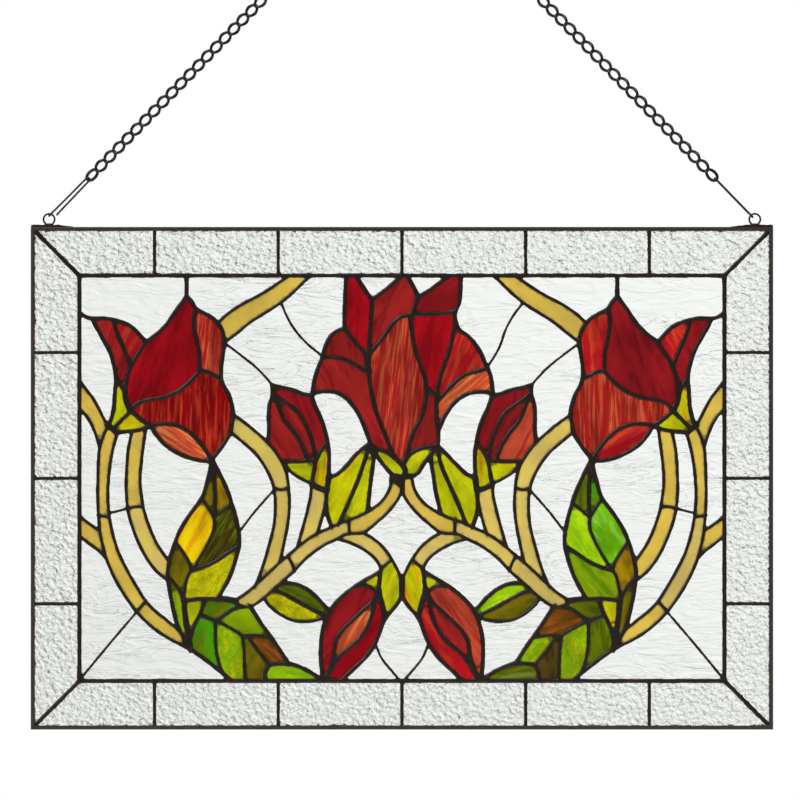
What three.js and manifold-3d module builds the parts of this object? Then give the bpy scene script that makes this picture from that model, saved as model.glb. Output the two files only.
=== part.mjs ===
// A hanging stained glass panel: red tulips, cream stems and green leaves in clear glass,
// joined by blackened solder seams in a metal frame, on rings, wire hooks and a chain.
// Millimetres. X runs across the panel, Y from its front (-Y) to its back, Z up.
// The origin is the inside top of the top ring, where a nail or hook carries the window.
import * as THREE from 'three';
import { mergeVertices } from 'three/addons/utils/BufferGeometryUtils.js';
import Module from 'manifold-3d';

const wasm = await Module();
wasm.setup();

// Panel and frame
const PANEL_WIDTH = 610;
const PANEL_HEIGHT = 413;
const PANEL_DROP = 311; // from the hanging point down to the panel's top edge
const FRAME_DEPTH = 7;
const FRAME_FACE = 3.7; // width of the frame seen from the front
const FRAME_WALL = 1.2; // metal outside the frame's groove
const FIT = 0.3; // clearance between any two pieces

// Glass and seams
const GLASS_THICKNESS = 3;
const LATTICE_DEPTH = 5; // solder seams stand proud of the glass on both faces
const BORDER_WIDTH = 36.2; // from the frame to the middle of the inner seam
const INNER_SEAM = 3.4;
const DIVIDER_SEAM = 2.7;
const MITRE_SEAM = 3.4;
const BORDER_TILES_ACROSS = 6;
const BORDER_TILES_HIGH = 4;
const SEAM_TOLERANCE = 0.9; // how far a faceted seam may leave its drawn curve
const OUTLINE_TOLERANCE = 1.1; // and a glass outline its seams

// Hanging gear
const RING_OUTER = 10.6;
const RING_WIRE = 1.3;
const RING_INSET = 14.9; // from the panel's side to the ring's centre
const STRIP_LENGTH = 35;
const STRIP_RISE = 1.9;
const STRIP_DEPTH = 5;
const RING_SINK = 1.2; // how far the ring stands in the solder of its strip
const TOP_RING_OUTER = 15;
const TOP_RING_WIRE = 1.8;
const LINK_WIRE = 1.8;
const LINK_WIDTH = 9.6;
const LINK_LENGTH = 13.4;
const LINK_BITE = 0.65; // neighbouring links press into each other
const LINK_TWIST = 40 * Math.PI / 180;
const HOOK_WIRE = 1.4;
const HOOK_SPREAD = 3.9; // between the two wires at the ring end
const HOOK_LEAST = 30; // shortest hook, from the ring wire to the last link

// The drawing is squared up like a glazier's cartoon, and is stretched to the picture opening
const CARTOON = { left: 78.6, right: 725, top: 275.4, foot: 680.4 };

const frontFace = -LATTICE_DEPTH / 2;
const panelTop = -PANEL_DROP;
const panelFoot = panelTop - PANEL_HEIGHT;
const picture = {
  width: PANEL_WIDTH - 2 * (FRAME_FACE + BORDER_WIDTH),
  height: PANEL_HEIGHT - 2 * (FRAME_FACE + BORDER_WIDTH),
  foot: panelFoot + FRAME_FACE + BORDER_WIDTH,
};
const acrossScale = picture.width / (CARTOON.right - CARTOON.left);
const upScale = picture.height / (CARTOON.foot - CARTOON.top);
const axisMark = (CARTOON.left + CARTOON.right) / 2;

const place = ([across, down]) => new THREE.Vector2(
  (across - axisMark) * acrossScale,
  picture.foot + (CARTOON.foot - down) * upScale,
);
const mirrored = ([across, down]) => [2 * axisMark - across, down];

// Seam widths, in millimetres
const STEM = 2.8;
const PETAL = 3.6;
const HEAVY = 4.6;

// A cut parts two pieces of the model. A joint parts two tiles of one piece, and lies on its faces.
const cut = (width, ...points) => ({ width, points, through: true });
const joint = (width, ...points) => ({ width, points, through: false });

// One side of the drawing. Every list is one seam, through a few points of the cartoon.
const sideTulip = [
  joint(PETAL, [186, 274], [186, 297]),
  cut(PETAL, [186, 295], [176, 309.5], [166.5, 323.5], [156, 334], [145.3, 341.9]),
  cut(PETAL, [186, 295], [191, 301.5], [196, 309], [204, 313.3], [213, 318.8], [220, 327], [224, 345]),
  cut(PETAL, [224, 342], [222.3, 354], [220.6, 372], [223, 385], [228, 394], [233, 415]),
  cut(PETAL, [91, 318.2], [104, 318.2], [118, 321], [130, 326.2], [138, 333.5], [145.3, 342.5]),
  cut(PETAL, [91, 317.5], [95, 326], [102, 338.5], [109, 351.5], [115.2, 378], [113.5, 402], [108, 426]),
  cut(PETAL, [130.5, 410.5], [139.5, 418.8], [150, 426]),
  cut(PETAL, [150, 425], [156, 435], [165, 445], [176, 452.3], [190, 458], [211, 460.5]),
  cut(PETAL, [231.5, 427], [226, 439.5], [219.5, 449], [210.5, 460.5]),
  cut(PETAL, [115.2, 377], [119.5, 384.5], [124, 393.5], [127.5, 403]),
  cut(HEAVY, [126.4, 388], [127, 399], [130.5, 411]),
  cut(PETAL, [233, 413], [231.8, 421], [230, 432]),
  cut(PETAL, [116, 432.5], [124, 431.5], [137, 430], [151, 426]),
  cut(HEAVY, [107, 425], [112.5, 429.5], [117, 433.5]),
  joint(PETAL, [195, 307.5], [193.2, 321], [195.2, 337], [198.5, 352], [199, 371.5]),
  joint(PETAL, [199.5, 370], [190, 381], [178, 390.7], [163, 397], [146, 400], [130.3, 410.5]),
  joint(PETAL, [198.5, 370.5], [206, 371.5], [213, 375], [222, 379]),
  joint(PETAL, [112, 318.5], [117, 334], [122.5, 347], [130, 365]),
  joint(PETAL, [145.3, 341], [136, 356], [129.5, 368], [126.4, 390]),
  joint(PETAL, [130.5, 411], [121, 419.5], [112, 429.5]),
  joint(PETAL, [149, 425.2], [160, 423.8], [172, 424.3], [184, 428.6], [195, 437.5], [210.5, 460]),
];
const overTulip = [
  cut(STEM, [217, 323], [228, 313], [241.4, 304.1], [256, 296.5], [270, 288.2], [287.5, 275]),
  cut(STEM, [223, 343], [236, 333.2], [248.6, 322.9], [262, 314.3], [277.3, 304.6], [290, 294.6], [310.5, 275]),
];
const sideBud = [
  cut(PETAL, [271, 384.3], [281, 387.2], [293, 390], [313, 395.5]),
  cut(PETAL, [272, 384], [272, 395], [269, 405], [268.2, 416], [268.6, 428], [267.5, 443]),
  cut(PETAL, [311, 394], [315.5, 407], [321, 419], [325.5, 433], [328.8, 455], [328.3, 478]),
  cut(PETAL, [281, 460.5], [298, 461.3], [315.8, 460.3]),
  cut(PETAL, [326, 441], [320.5, 450], [315.3, 460.5]),
  cut(STEM, [283, 461.5], [290.8, 471.7], [300, 478], [312, 483.8]),
  cut(HEAVY, [310, 482.8], [318, 487], [327, 490.5]),
  joint(PETAL, [272.4, 390], [277, 403], [284, 420], [295, 434], [303, 448], [308, 462]),
  joint(PETAL, [273.3, 393.5], [285.8, 402.9], [298, 412.5], [306.5, 426.5], [312, 441.5], [315.5, 460]),
];
const budStem = [
  cut(STEM, [231.5, 413.5], [243, 421], [256, 429.5], [267.5, 440.5], [276, 451.5], [283.5, 463.5],
    [288.3, 488], [289, 507], [284.5, 539], [280.5, 561.5]),
  cut(STEM, [229.5, 431.2], [243, 442.5], [256, 454.5], [266.5, 470], [273, 486], [274.8, 503],
    [273.6, 524], [268, 547], [261, 570], [254, 587]),
];
const leafStem = [
  cut(STEM, [310.5, 482], [310.8, 493], [308.5, 504], [304.5, 520], [297.3, 546.5]),
  cut(STEM, [326.3, 489], [325, 503], [321, 520], [316.5, 534.5]),
];
const lowBranch = [
  cut(STEM, [392.5, 478], [388.5, 490.5], [380.6, 501.9], [368, 511], [355, 517.3], [342, 522], [316.5, 533]),
  cut(STEM, [298, 546], [289, 554], [279.5, 562]),
  cut(STEM, [255, 585], [245, 593.5], [234.5, 599.5]),
  cut(STEM, [401.8, 488], [397.5, 498.5], [388, 511.5], [376, 522.5], [364, 532.5]),
  cut(STEM, [338, 537.7], [325, 544], [313, 552], [303, 560.5], [294, 570], [283, 580], [272, 589.5],
    [262, 598.5], [252.5, 605], [235, 602.5]),
  cut(STEM, [362, 532], [373, 538.3], [383, 547], [391, 557.5], [397, 567.5], [401.8, 578]),
  cut(STEM, [335.5, 538], [350, 542.5], [364, 549.5], [375, 558.5], [381.5, 568.5]),
  cut(HEAVY, [380, 569], [391.5, 558]),
];
const centreLeaf = [
  cut(STEM, [327.5, 478], [337, 473.8], [347, 464.5], [357, 453], [370.5, 442.5]),
  cut(STEM, [326.4, 488], [325.9, 502], [326.8, 514], [331.5, 528]),
  cut(STEM, [372.5, 445], [372.8, 459], [371, 474], [369.3, 490], [367.3, 512.5]),
  joint(PETAL, [369.3, 443.5], [363.6, 460], [357, 481], [347, 504.5], [337.5, 524.5]),
];
const outerStem = [
  cut(STEM, [77.5, 379], [86, 390], [97, 406.5], [107.5, 427]),
  cut(STEM, [77.5, 408], [88, 419], [94, 432], [99.5, 449]),
  cut(STEM, [99, 446], [97.2, 475], [97, 500], [99.5, 532]),
  cut(STEM, [105, 556], [114, 577], [135.5, 611.5], [158, 631.8], [189.5, 649]),
  cut(STEM, [117, 432], [111.5, 452], [107.5, 483], [108, 512], [114, 541], [129.6, 575.9], [153.3, 609.1],
    [184.5, 642]),
  cut(STEM, [77.5, 515], [87.3, 522.6], [100.5, 532]),
  cut(STEM, [77.5, 535.5], [89.2, 543.9], [107, 559.5]),
];
const innerStem = [
  cut(STEM, [131, 430], [127.8, 446.7], [125.7, 485], [129.4, 521.5], [141.4, 551], [168.5, 580]),
  cut(STEM, [145, 427.5], [141.2, 456.9], [139.6, 485], [145.8, 519.5], [156.8, 545.1], [169.5, 564]),
];
const leafSpray = [
  cut(HEAVY, [211.5, 459], [212.3, 470]),
  cut(STEM, [211.5, 464], [206, 483.5], [198.5, 502], [185, 520.5], [174.3, 543], [168.3, 564], [168, 584],
    [171.5, 604], [178, 627.5], [187, 645.5]),
  cut(STEM, [212.5, 463], [223.5, 482.5], [231.5, 504], [238.8, 532], [238.5, 546], [232.8, 567], [222.5, 589],
    [217.5, 598]),
  joint(PETAL, [212.5, 464], [214.3, 495], [214, 516]),
  joint(STEM, [213.5, 515], [213.8, 526], [203.7, 549.8], [190.5, 570.5]),
  joint(HEAVY, [191, 569.5], [185.3, 580.6], [183.5, 591.3], [184.8, 602]),
  joint(PETAL, [190, 570.7], [203, 566.5], [218, 559.5], [239, 546.5]),
  cut(HEAVY, [216, 598], [226, 598.3], [236.5, 598.3]),
  joint(STEM, [198, 614.5], [215, 619.8], [231.9, 609], [241, 605.5]),
  cut(HEAVY, [234, 601], [240, 605.8], [254, 607]),
  joint(STEM, [213.5, 619], [215, 641.7], [217.8, 661.4], [224.5, 674.5]),
  cut(STEM, [186, 645.5], [201, 656], [212, 664.5], [232, 681]),
  cut(STEM, [251, 606], [270, 636], [288.5, 664.5]),
  cut(STEM, [287, 663.4], [300, 666], [311, 672], [320, 681]),
];
const smallLeaf = [
  cut(STEM, [277, 585], [288, 583], [298, 584.5], [307, 589], [317, 597], [327.5, 610.5]),
  cut(STEM, [262.5, 596.3], [271, 607], [281, 614.5], [292, 620], [303, 621.3], [326, 617.5]),
  joint(PETAL, [270, 591.4], [290.8, 597.6], [326, 616]),
];
const lowerBud = [
  cut(STEM, [381.5, 567.5], [368, 578], [356.5, 585], [346, 592.5], [336, 601.5], [328, 611], [321.5, 628],
    [318.3, 650], [319.5, 668], [322.5, 681.5]),
  cut(STEM, [384, 613], [382.8, 622], [379.5, 632], [375.5, 642], [370, 650.5], [363, 659.5], [354, 668],
    [339, 681]),
  cut(STEM, [401.5, 590], [398.5, 599], [393, 606.5], [384, 617.5]),
  joint(HEAVY, [401.8, 574], [401.8, 594]),
  cut(STEM, [355.5, 585], [365, 585.3], [373, 588.5], [379, 594.5]),
  cut(PETAL, [378.6, 588], [380, 599], [383, 608], [384.3, 618]),
  joint(PETAL, [378.5, 592], [371.5, 600.5], [351, 619.8], [336, 640], [331.5, 658], [324, 676.5]),
  joint(PETAL, [373.5, 597.5], [371, 612], [364.5, 629.7], [346.5, 649], [333, 664], [323.5, 678.5]),
];
// The centre tulip isn't the same on both sides
const centreTulip = [
  cut(PETAL, [346.3, 273], [345, 290], [344.4, 308], [344.5, 329]),
  cut(PETAL, [355, 273.5], [363.1, 287.1], [372.5, 300.5]),
  cut(PETAL, [371, 301], [385.4, 289.7], [403, 275]),
  cut(PETAL, [406.5, 274.5], [414.3, 288.4], [419.5, 297.8]),
  cut(PETAL, [418, 297.5], [431.4, 288.4], [450, 275]),
  cut(PETAL, [461.3, 273], [460.5, 290], [459.3, 302], [455, 313], [455.5, 321], [458.5, 328]),
  cut(PETAL, [456, 324], [466, 332.5], [474.5, 341], [481.5, 352], [488.5, 368]),
  cut(PETAL, [487.8, 365], [491.3, 379], [493, 395]),
  cut(PETAL, [494, 393], [479, 391.8], [467, 394], [455.5, 401.5], [445.5, 415], [438.5, 427],
    [437.8, 440], [436, 448]),
  cut(PETAL, [345.3, 327], [335, 331.5], [329, 337.5], [322, 356.5], [317, 370], [313.5, 382], [311.8, 396]),
  cut(PETAL, [311, 393.3], [324, 391], [336.5, 392.5], [347.5, 399.5], [356.5, 411], [364, 427], [371.5, 445.5]),
  cut(PETAL, [369.5, 443.3], [377.5, 449], [386, 451.5], [394, 457.3], [404.5, 466]),
  cut(PETAL, [437.5, 445.5], [428.8, 446.7], [416, 450.5], [409.5, 456.5], [404.5, 466]),
  joint(PETAL, [372.5, 299], [371, 316], [369.3, 348], [367.3, 372]),
  joint(PETAL, [419.5, 295.5], [414.3, 306.8], [411, 317]),
  joint(PETAL, [412, 313.7], [431.4, 314], [456, 312.3]),
  joint(PETAL, [369, 355], [384.1, 336.2], [394, 322.8], [402.5, 316.8], [412.5, 314.2]),
  joint(PETAL, [369, 353], [370.2, 388], [377.5, 417], [389.4, 447], [402, 466]),
  joint(PETAL, [410, 315.5], [412.5, 336], [420.2, 364.6], [428, 387.5], [433, 391.7], [438.5, 395.5]),
  joint(PETAL, [428.5, 388.5], [425.5, 404], [415, 429], [409.7, 443.5], [405, 462]),
  joint(PETAL, [455.3, 318], [453.5, 334], [444, 364.5], [437.5, 390], [437.2, 429]),
  joint(PETAL, [489.5, 368.5], [474, 371.3], [458, 379.8], [437, 402]),
  joint(PETAL, [344, 327.5], [352.6, 339.7], [369.5, 354.5]),
  joint(PETAL, [321, 357.3], [336, 357.2], [350, 362], [368.5, 373]),
];
const centreSepals = [
  cut(STEM, [373, 450], [379.5, 459.5], [386, 468], [394, 475], [404.5, 476.4]),
  cut(STEM, [434.5, 449.5], [427, 459.2], [419.6, 470.2], [413, 475.2], [404, 476.4]),
  cut(HEAVY, [391, 478.5], [402.5, 481]),
  cut(STEM, [411.8, 476], [412.4, 480]),
  joint(HEAVY, [405.3, 464], [405.3, 477.5]),
];

const oneSide = [
  ...sideTulip, ...overTulip, ...sideBud, ...budStem, ...leafStem, ...lowBranch, ...centreLeaf,
  ...outerStem, ...innerStem, ...leafSpray, ...smallLeaf, ...lowerBud,
];
const seams = [
  ...oneSide,
  ...oneSide.map((seam) => ({ ...seam, points: seam.points.map(mirrored) })),
  ...centreTulip, ...centreSepals,
];

// Colours of the glass and metal
const COLOURS = {
  clear: 0xe9ecec, red: 0x9c141c, green: 0x8fa81c, lime: 0xb9c81e, cream: 0xd3ba62, metal: 0x37322f,
};
// Each piece of picture glass is found by a point inside it
const pairedGlass = {
  sky: ['clear', [130, 295]],
  upper_background: ['clear', [260, 340]],
  arch_background: ['clear', [345, 430]],
  edge_background: ['clear', [88, 470]],
  corner_background: ['clear', [95, 620]],
  stem_background: ['clear', [117, 480]],
  tulip_background: ['clear', [170, 480]],
  leaf_background: ['clear', [250, 500]],
  bud_background: ['clear', [297, 500]],
  sepal_background: ['clear', [380, 480]],
  branch_background: ['clear', [320, 580]],
  foot_background: ['clear', [295, 645]],
  tulip: ['red', [165, 360]],
  side_bud: ['red', [300, 430]],
  lower_bud: ['red', [350, 600]],
  tulip_sepals: ['lime', [118, 400]],
  centre_leaf: ['lime', [345, 490]],
  leaf_spray: ['green', [200, 530]],
  small_leaf: ['green', [300, 595]],
  branch_stem: ['cream', [255, 306]],
  outer_stem: ['cream', [103, 480]],
  inner_stem: ['cream', [133, 480]],
};
const singleGlass = {
  tulip_centre: ['red', [398, 400]],
  centre_sepals: ['lime', [392, 466]],
  lower_bud_sepals: ['lime', [391, 585]],
  centre_stems: ['cream', [355, 525]],
  centre_background: ['clear', [401, 540]],
  bottom_background: ['clear', [401, 640]],
};

// Solid modelling helpers
function solidOf(geometry) {
  const bare = geometry.clone();
  bare.deleteAttribute('normal');
  bare.deleteAttribute('uv');
  const merged = mergeVertices(bare, 1e-4);
  return new wasm.Manifold(new wasm.Mesh({
    numProp: 3,
    vertProperties: new Float32Array(merged.attributes.position.array),
    triVerts: new Uint32Array(merged.index.array),
  }));
}

function geometryOf(solid) {
  const mesh = solid.getMesh();
  const geometry = new THREE.BufferGeometry();
  geometry.setAttribute('position', new THREE.BufferAttribute(new Float32Array(mesh.vertProperties), 3));
  geometry.setIndex(new THREE.BufferAttribute(new Uint32Array(mesh.triVerts), 1));
  geometry.computeVertexNormals();
  return geometry;
}

// A plate cut to a shape drawn in the panel's plane, between two depths
function plate(shape, front, back) {
  const geometry = new THREE.ExtrudeGeometry(shape, { depth: back - front, bevelEnabled: false, curveSegments: 1 });
  geometry.rotateX(Math.PI / 2);
  geometry.translate(0, back, 0);
  return geometry;
}

const rectangle = (halfWidth, foot, top) => [
  new THREE.Vector2(-halfWidth, foot), new THREE.Vector2(halfWidth, foot),
  new THREE.Vector2(halfWidth, top), new THREE.Vector2(-halfWidth, top),
];

// The line of a seam: straight where it has two points, else a smooth curve stepped by its turning
function seamLine(points) {
  const placed = points.map(place);
  if (placed.length < 3) return placed;
  const curve = new THREE.SplineCurve(placed);
  const fine = curve.getPoints(8 * (placed.length - 1));
  return simplified(fine, SEAM_TOLERANCE);
}

function simplified(line, tolerance) {
  if (line.length < 3) return line;
  const [start, end] = [line[0], line[line.length - 1]];
  const along = end.clone().sub(start);
  const length = along.length();
  let worst = 0;
  let split = 0;
  line.forEach((point, index) => {
    const offset = point.clone().sub(start);
    const away = length > 0 ? Math.abs(along.cross(offset)) / length : offset.length();
    if (away > worst) [worst, split] = [away, index];
  });
  if (worst <= tolerance) return [start, end];
  return [...simplified(line.slice(0, split + 1), tolerance).slice(0, -1), ...simplified(line.slice(split), tolerance)];
}

function simplifiedLoop(loop, tolerance) {
  const far = loop.reduce((best, point, index) => (
    point.distanceTo(loop[0]) > loop[best].distanceTo(loop[0]) ? index : best), 0);
  const there = simplified(loop.slice(0, far + 1), tolerance);
  const back = simplified([...loop.slice(far), loop[0]], tolerance);
  return [...there.slice(0, -1), ...back.slice(0, -1)];
}

// The points beside a line, a distance to its left, mitred at each corner
function beside(line, distance, closed = false) {
  const count = line.length;
  return line.map((point, index) => {
    const before = closed ? line[(index + count - 1) % count] : line[Math.max(index - 1, 0)];
    const after = closed ? line[(index + 1) % count] : line[Math.min(index + 1, count - 1)];
    const arrive = (index > 0 || closed ? point.clone().sub(before) : after.clone().sub(point)).normalize();
    const leave = (index < count - 1 || closed ? after.clone().sub(point) : point.clone().sub(before)).normalize();
    const bisector = new THREE.Vector2(-(arrive.y + leave.y), arrive.x + leave.x).normalize();
    const stretch = Math.min(1 / Math.max(bisector.dot(new THREE.Vector2(-leave.y, leave.x)), 0.4), 2.5);
    return point.clone().addScaledVector(bisector, distance * stretch);
  });
}

function ribbon(line, width, front, back) {
  const outline = [...beside(line, width / 2), ...beside(line, -width / 2).reverse()];
  return solidOf(plate(new THREE.Shape(outline), front, back));
}

// The outline of a plate's front face, read back from its solid
function frontOutline(solid, front) {
  const { vertProperties: at, triVerts, numProp } = solid.getMesh();
  const onFront = (vertex) => Math.abs(at[vertex * numProp + 1] - front) < 1e-3;
  const next = new Map();
  for (let corner = 0; corner < triVerts.length; corner += 3) {
    const triangle = [triVerts[corner], triVerts[corner + 1], triVerts[corner + 2]];
    if (!triangle.every(onFront)) continue;
    triangle.forEach((from, side) => {
      const to = triangle[(side + 1) % 3];
      next.set(`${from},${to}`, [from, to]);
    });
  }
  const rim = new Map();
  next.forEach(([from, to]) => {
    if (!next.has(`${to},${from}`)) rim.set(from, to);
  });
  const loops = [];
  while (rim.size > 0) {
    const loop = [];
    let vertex = rim.keys().next().value;
    while (rim.has(vertex)) {
      loop.push(new THREE.Vector2(at[vertex * numProp], at[vertex * numProp + 2]));
      const following = rim.get(vertex);
      rim.delete(vertex);
      vertex = following;
    }
    loops.push(loop);
  }
  const area = (loop) => Math.abs(THREE.ShapeUtils.area(loop));
  const largest = loops.sort((one, other) => area(other) - area(one))[0];
  return THREE.ShapeUtils.isClockWise(largest) ? largest.reverse() : largest;
}

function encloses(outline, point) {
  let inside = false;
  outline.forEach((corner, index) => {
    const previous = outline[(index + outline.length - 1) % outline.length];
    const spans = (corner.y > point.y) !== (previous.y > point.y);
    const crossing = corner.x + (point.y - corner.y) * (previous.x - corner.x) / (previous.y - corner.y);
    if (spans && point.x < crossing) inside = !inside;
  });
  return inside;
}

// Cut the picture along its through seams, and read each opening's outline
const half = GLASS_THICKNESS / 2;
const opening = rectangle(picture.width / 2 - INNER_SEAM / 2, picture.foot + INNER_SEAM / 2,
  picture.foot + picture.height - INNER_SEAM / 2);
const ribbons = seams.filter((seam) => seam.through)
  .map((seam) => ribbon(seamLine(seam.points), seam.width, -half - 1, half + 1));
const sheet = solidOf(plate(new THREE.Shape(opening), -half, half));
const openings = sheet.subtract(wasm.Manifold.union(ribbons)).decompose()
  .map((solid) => simplifiedLoop(frontOutline(solid, -half), OUTLINE_TOLERANCE))
  .filter((outline) => Math.abs(THREE.ShapeUtils.area(outline)) > 30);

const window = new THREE.Group();
const add = (name, geometry, colour, roughness = 0.25, metalness = 0) => {
  const mesh = new THREE.Mesh(geometry, new THREE.MeshStandardMaterial({ color: colour, roughness, metalness }));
  mesh.name = name;
  window.add(mesh);
};
const addMetal = (name, geometry) => add(name, geometry, COLOURS.metal, 0.5, 0.8);

const seeds = [
  ...Object.entries(pairedGlass).flatMap(([name, [colour, point]]) => [
    [`${name}_left`, colour, place(point)], [`${name}_right`, colour, place(mirrored(point))]]),
  ...Object.entries(singleGlass).map(([name, [colour, point]]) => [name, colour, place(point)]),
];
for (const [name, colour, point] of seeds) {
  const outline = openings.find((candidate) => encloses(candidate, point));
  const glass = beside(outline, FIT, true);
  add(name, plate(new THREE.Shape(glass), -half, half), COLOURS[colour]);
}

// The solder lattice: the picture's seams, then the raised seams on both faces
const latticeShape = new THREE.Shape(rectangle(picture.width / 2 + INNER_SEAM / 2,
  picture.foot - INNER_SEAM / 2, picture.foot + picture.height + INNER_SEAM / 2));
const pierced = openings.map((outline) => solidOf(plate(new THREE.Shape(outline), frontFace - 1, 1 - frontFace)));
const barBase = -half - FIT;
const barOnFace = (line, width) => ribbon(line, width, frontFace, barBase);
const bars = seams.filter((seam) => !seam.through).map((seam) => barOnFace(seamLine(seam.points), seam.width));

const inside = {
  side: PANEL_WIDTH / 2 - FRAME_FACE - FIT,
  foot: panelFoot + FRAME_FACE + FIT,
  top: panelTop - FRAME_FACE - FIT,
};
const borderBars = [];
const line = (x1, z1, x2, z2) => [new THREE.Vector2(x1, z1), new THREE.Vector2(x2, z2)];
const pictureTop = picture.foot + picture.height;
for (let tile = 1; tile < BORDER_TILES_ACROSS; tile += 1) {
  const x = PANEL_WIDTH * (tile / BORDER_TILES_ACROSS - 0.5);
  borderBars.push([line(x, picture.foot, x, inside.foot), DIVIDER_SEAM]);
  borderBars.push([line(x, pictureTop, x, inside.top), DIVIDER_SEAM]);
}
for (let tile = 1; tile < BORDER_TILES_HIGH; tile += 1) {
  const z = panelFoot + PANEL_HEIGHT * tile / BORDER_TILES_HIGH;
  for (const side of [-1, 1]) {
    borderBars.push([line(side * picture.width / 2, z, side * inside.side, z), DIVIDER_SEAM]);
  }
}
const mitreStop = MITRE_SEAM / 2;
for (const side of [-1, 1]) {
  for (const [from, to, turn] of [[picture.foot, inside.foot, 1], [pictureTop, inside.top, -1]]) {
    borderBars.push([line(side * picture.width / 2, from, side * (inside.side - mitreStop), to + turn * mitreStop),
      MITRE_SEAM]);
  }
}
const lattice = wasm.Manifold.union([
  solidOf(plate(latticeShape, frontFace, -frontFace)).subtract(wasm.Manifold.union(pierced)),
  ...bars,
  ...borderBars.map(([ends, width]) => barOnFace(ends, width)),
]);
addMetal('solder_lattice', geometryOf(lattice));

// Border glass, one ring of hammered tiles whose outer edge stands in the frame's groove
const groove = PANEL_WIDTH / 2 - FRAME_WALL;
const borderShape = new THREE.Shape(rectangle(groove - FIT, panelFoot + FRAME_WALL + FIT, panelTop - FRAME_WALL - FIT));
borderShape.holes = [new THREE.Path(rectangle(picture.width / 2 + INNER_SEAM / 2 + FIT,
  picture.foot - INNER_SEAM / 2 - FIT, pictureTop + INNER_SEAM / 2 + FIT))];
add('border_glass', plate(borderShape, -half, half), COLOURS.clear);

// Frame, a U-shaped came round the edge
const frameShape = new THREE.Shape(rectangle(PANEL_WIDTH / 2, panelFoot, panelTop));
frameShape.holes = [new THREE.Path(rectangle(PANEL_WIDTH / 2 - FRAME_FACE, panelFoot + FRAME_FACE,
  panelTop - FRAME_FACE))];
const slot = plate(new THREE.Shape(rectangle(groove, panelFoot + FRAME_WALL, panelTop - FRAME_WALL)),
  -half - FIT, half + FIT);
addMetal('frame', geometryOf(solidOf(plate(frameShape, -FRAME_DEPTH / 2, FRAME_DEPTH / 2)).subtract(solidOf(slot))));

// A ring of wire facing the front
function wireRing(outer, wire, steps) {
  const ring = new THREE.TorusGeometry((outer - wire) / 2, wire / 2, 5, steps);
  ring.rotateX(Math.PI / 2);
  return ring;
}

// Corner rings, each in the solder of a strip that tapers along the frame's top edge
const stripSeat = panelTop + FIT;
const ringHeight = stripSeat + STRIP_RISE - RING_SINK + RING_OUTER / 2;
const ringAcross = PANEL_WIDTH / 2 - RING_INSET;
for (const [side, name] of [[-1, 'left'], [1, 'right']]) {
  const corner = side * PANEL_WIDTH / 2;
  const along = (share) => corner - side * STRIP_LENGTH * share;
  const profile = new THREE.Shape([
    new THREE.Vector2(corner, stripSeat), new THREE.Vector2(corner, stripSeat + STRIP_RISE * 0.7),
    new THREE.Vector2(along(0.06), stripSeat + STRIP_RISE), new THREE.Vector2(along(0.62), stripSeat + STRIP_RISE * 0.85),
    new THREE.Vector2(along(1), stripSeat + STRIP_RISE * 0.2), new THREE.Vector2(along(1), stripSeat),
  ]);
  const ring = wireRing(RING_OUTER, RING_WIRE, 12);
  ring.translate(side * ringAcross, 0, ringHeight);
  addMetal(`hanging_ring_${name}`,
    geometryOf(solidOf(plate(profile, -STRIP_DEPTH / 2, STRIP_DEPTH / 2)).add(solidOf(ring))));
}

// Top ring, hung on the nail
const topRingCentre = -(TOP_RING_OUTER / 2 - TOP_RING_WIRE);
const topRing = wireRing(TOP_RING_OUTER, TOP_RING_WIRE, 12);
topRing.translate(0, 0, topRingCentre);
addMetal('top_ring', topRing);

// Each leg of the hanging gear runs straight from the corner ring's wire to the top ring's wire
function legOf(side) {
  const low = new THREE.Vector3(side * ringAcross, 0, ringHeight);
  const high = new THREE.Vector3(0, 0, topRingCentre);
  const along = high.clone().sub(low).normalize();
  const start = low.clone().addScaledVector(along, (RING_OUTER - RING_WIRE) / 2);
  const end = high.clone().addScaledVector(along, -(TOP_RING_OUTER - TOP_RING_WIRE) / 2);
  const turn = new THREE.Matrix4().makeBasis(along, new THREE.Vector3(-along.z, 0, along.x), new THREE.Vector3(0, -1, 0));
  return { start, turn, length: start.distanceTo(end) };
}

// A curb link lies along X, and its wire plane turns from one angle to the other along it
function linkGeometry(fromAngle, toAngle) {
  const halfWidth = (LINK_WIDTH - LINK_WIRE) / 2;
  const halfLength = (LINK_LENGTH - LINK_WIRE) / 2;
  const link = new THREE.TorusGeometry(halfWidth, -LINK_WIRE / 2, 3, 6);
  link.rotateZ(Math.PI / 6);
  const at = link.attributes.position;
  const vertex = new THREE.Vector3();
  for (let index = 0; index < at.count; index += 1) {
    vertex.fromBufferAttribute(at, index);
    vertex.x += (halfLength / Math.cos(Math.PI / 6) - halfWidth) * vertex.x / Math.hypot(vertex.x, vertex.y);
    const share = THREE.MathUtils.clamp(0.5 + vertex.x / (2 * halfLength), 0, 1);
    vertex.applyAxisAngle(new THREE.Vector3(1, 0, 0), THREE.MathUtils.lerp(fromAngle, toAngle, share));
    at.setXYZ(index, vertex.x, vertex.y, vertex.z);
  }
  return link;
}

// A wire of square section bent through points, set along a leg
function sweptWire(points, wire, leg) {
  const path = new THREE.CatmullRomCurve3(points, false, 'centripetal');
  path.getPointAt = path.getPoint;
  path.getTangentAt = path.getTangent;
  const section = new THREE.Shape([[1, 0], [0, 1], [-1, 0], [0, -1]].map(([x, y]) => (
    new THREE.Vector2(x * wire / 2, y * wire / 2))));
  const swept = new THREE.ExtrudeGeometry(section, {
    extrudePath: path, steps: 2 * (points.length - 1), bevelEnabled: false,
  });
  swept.applyMatrix4(leg.turn);
  swept.translate(...leg.start);
  return swept;
}

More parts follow.
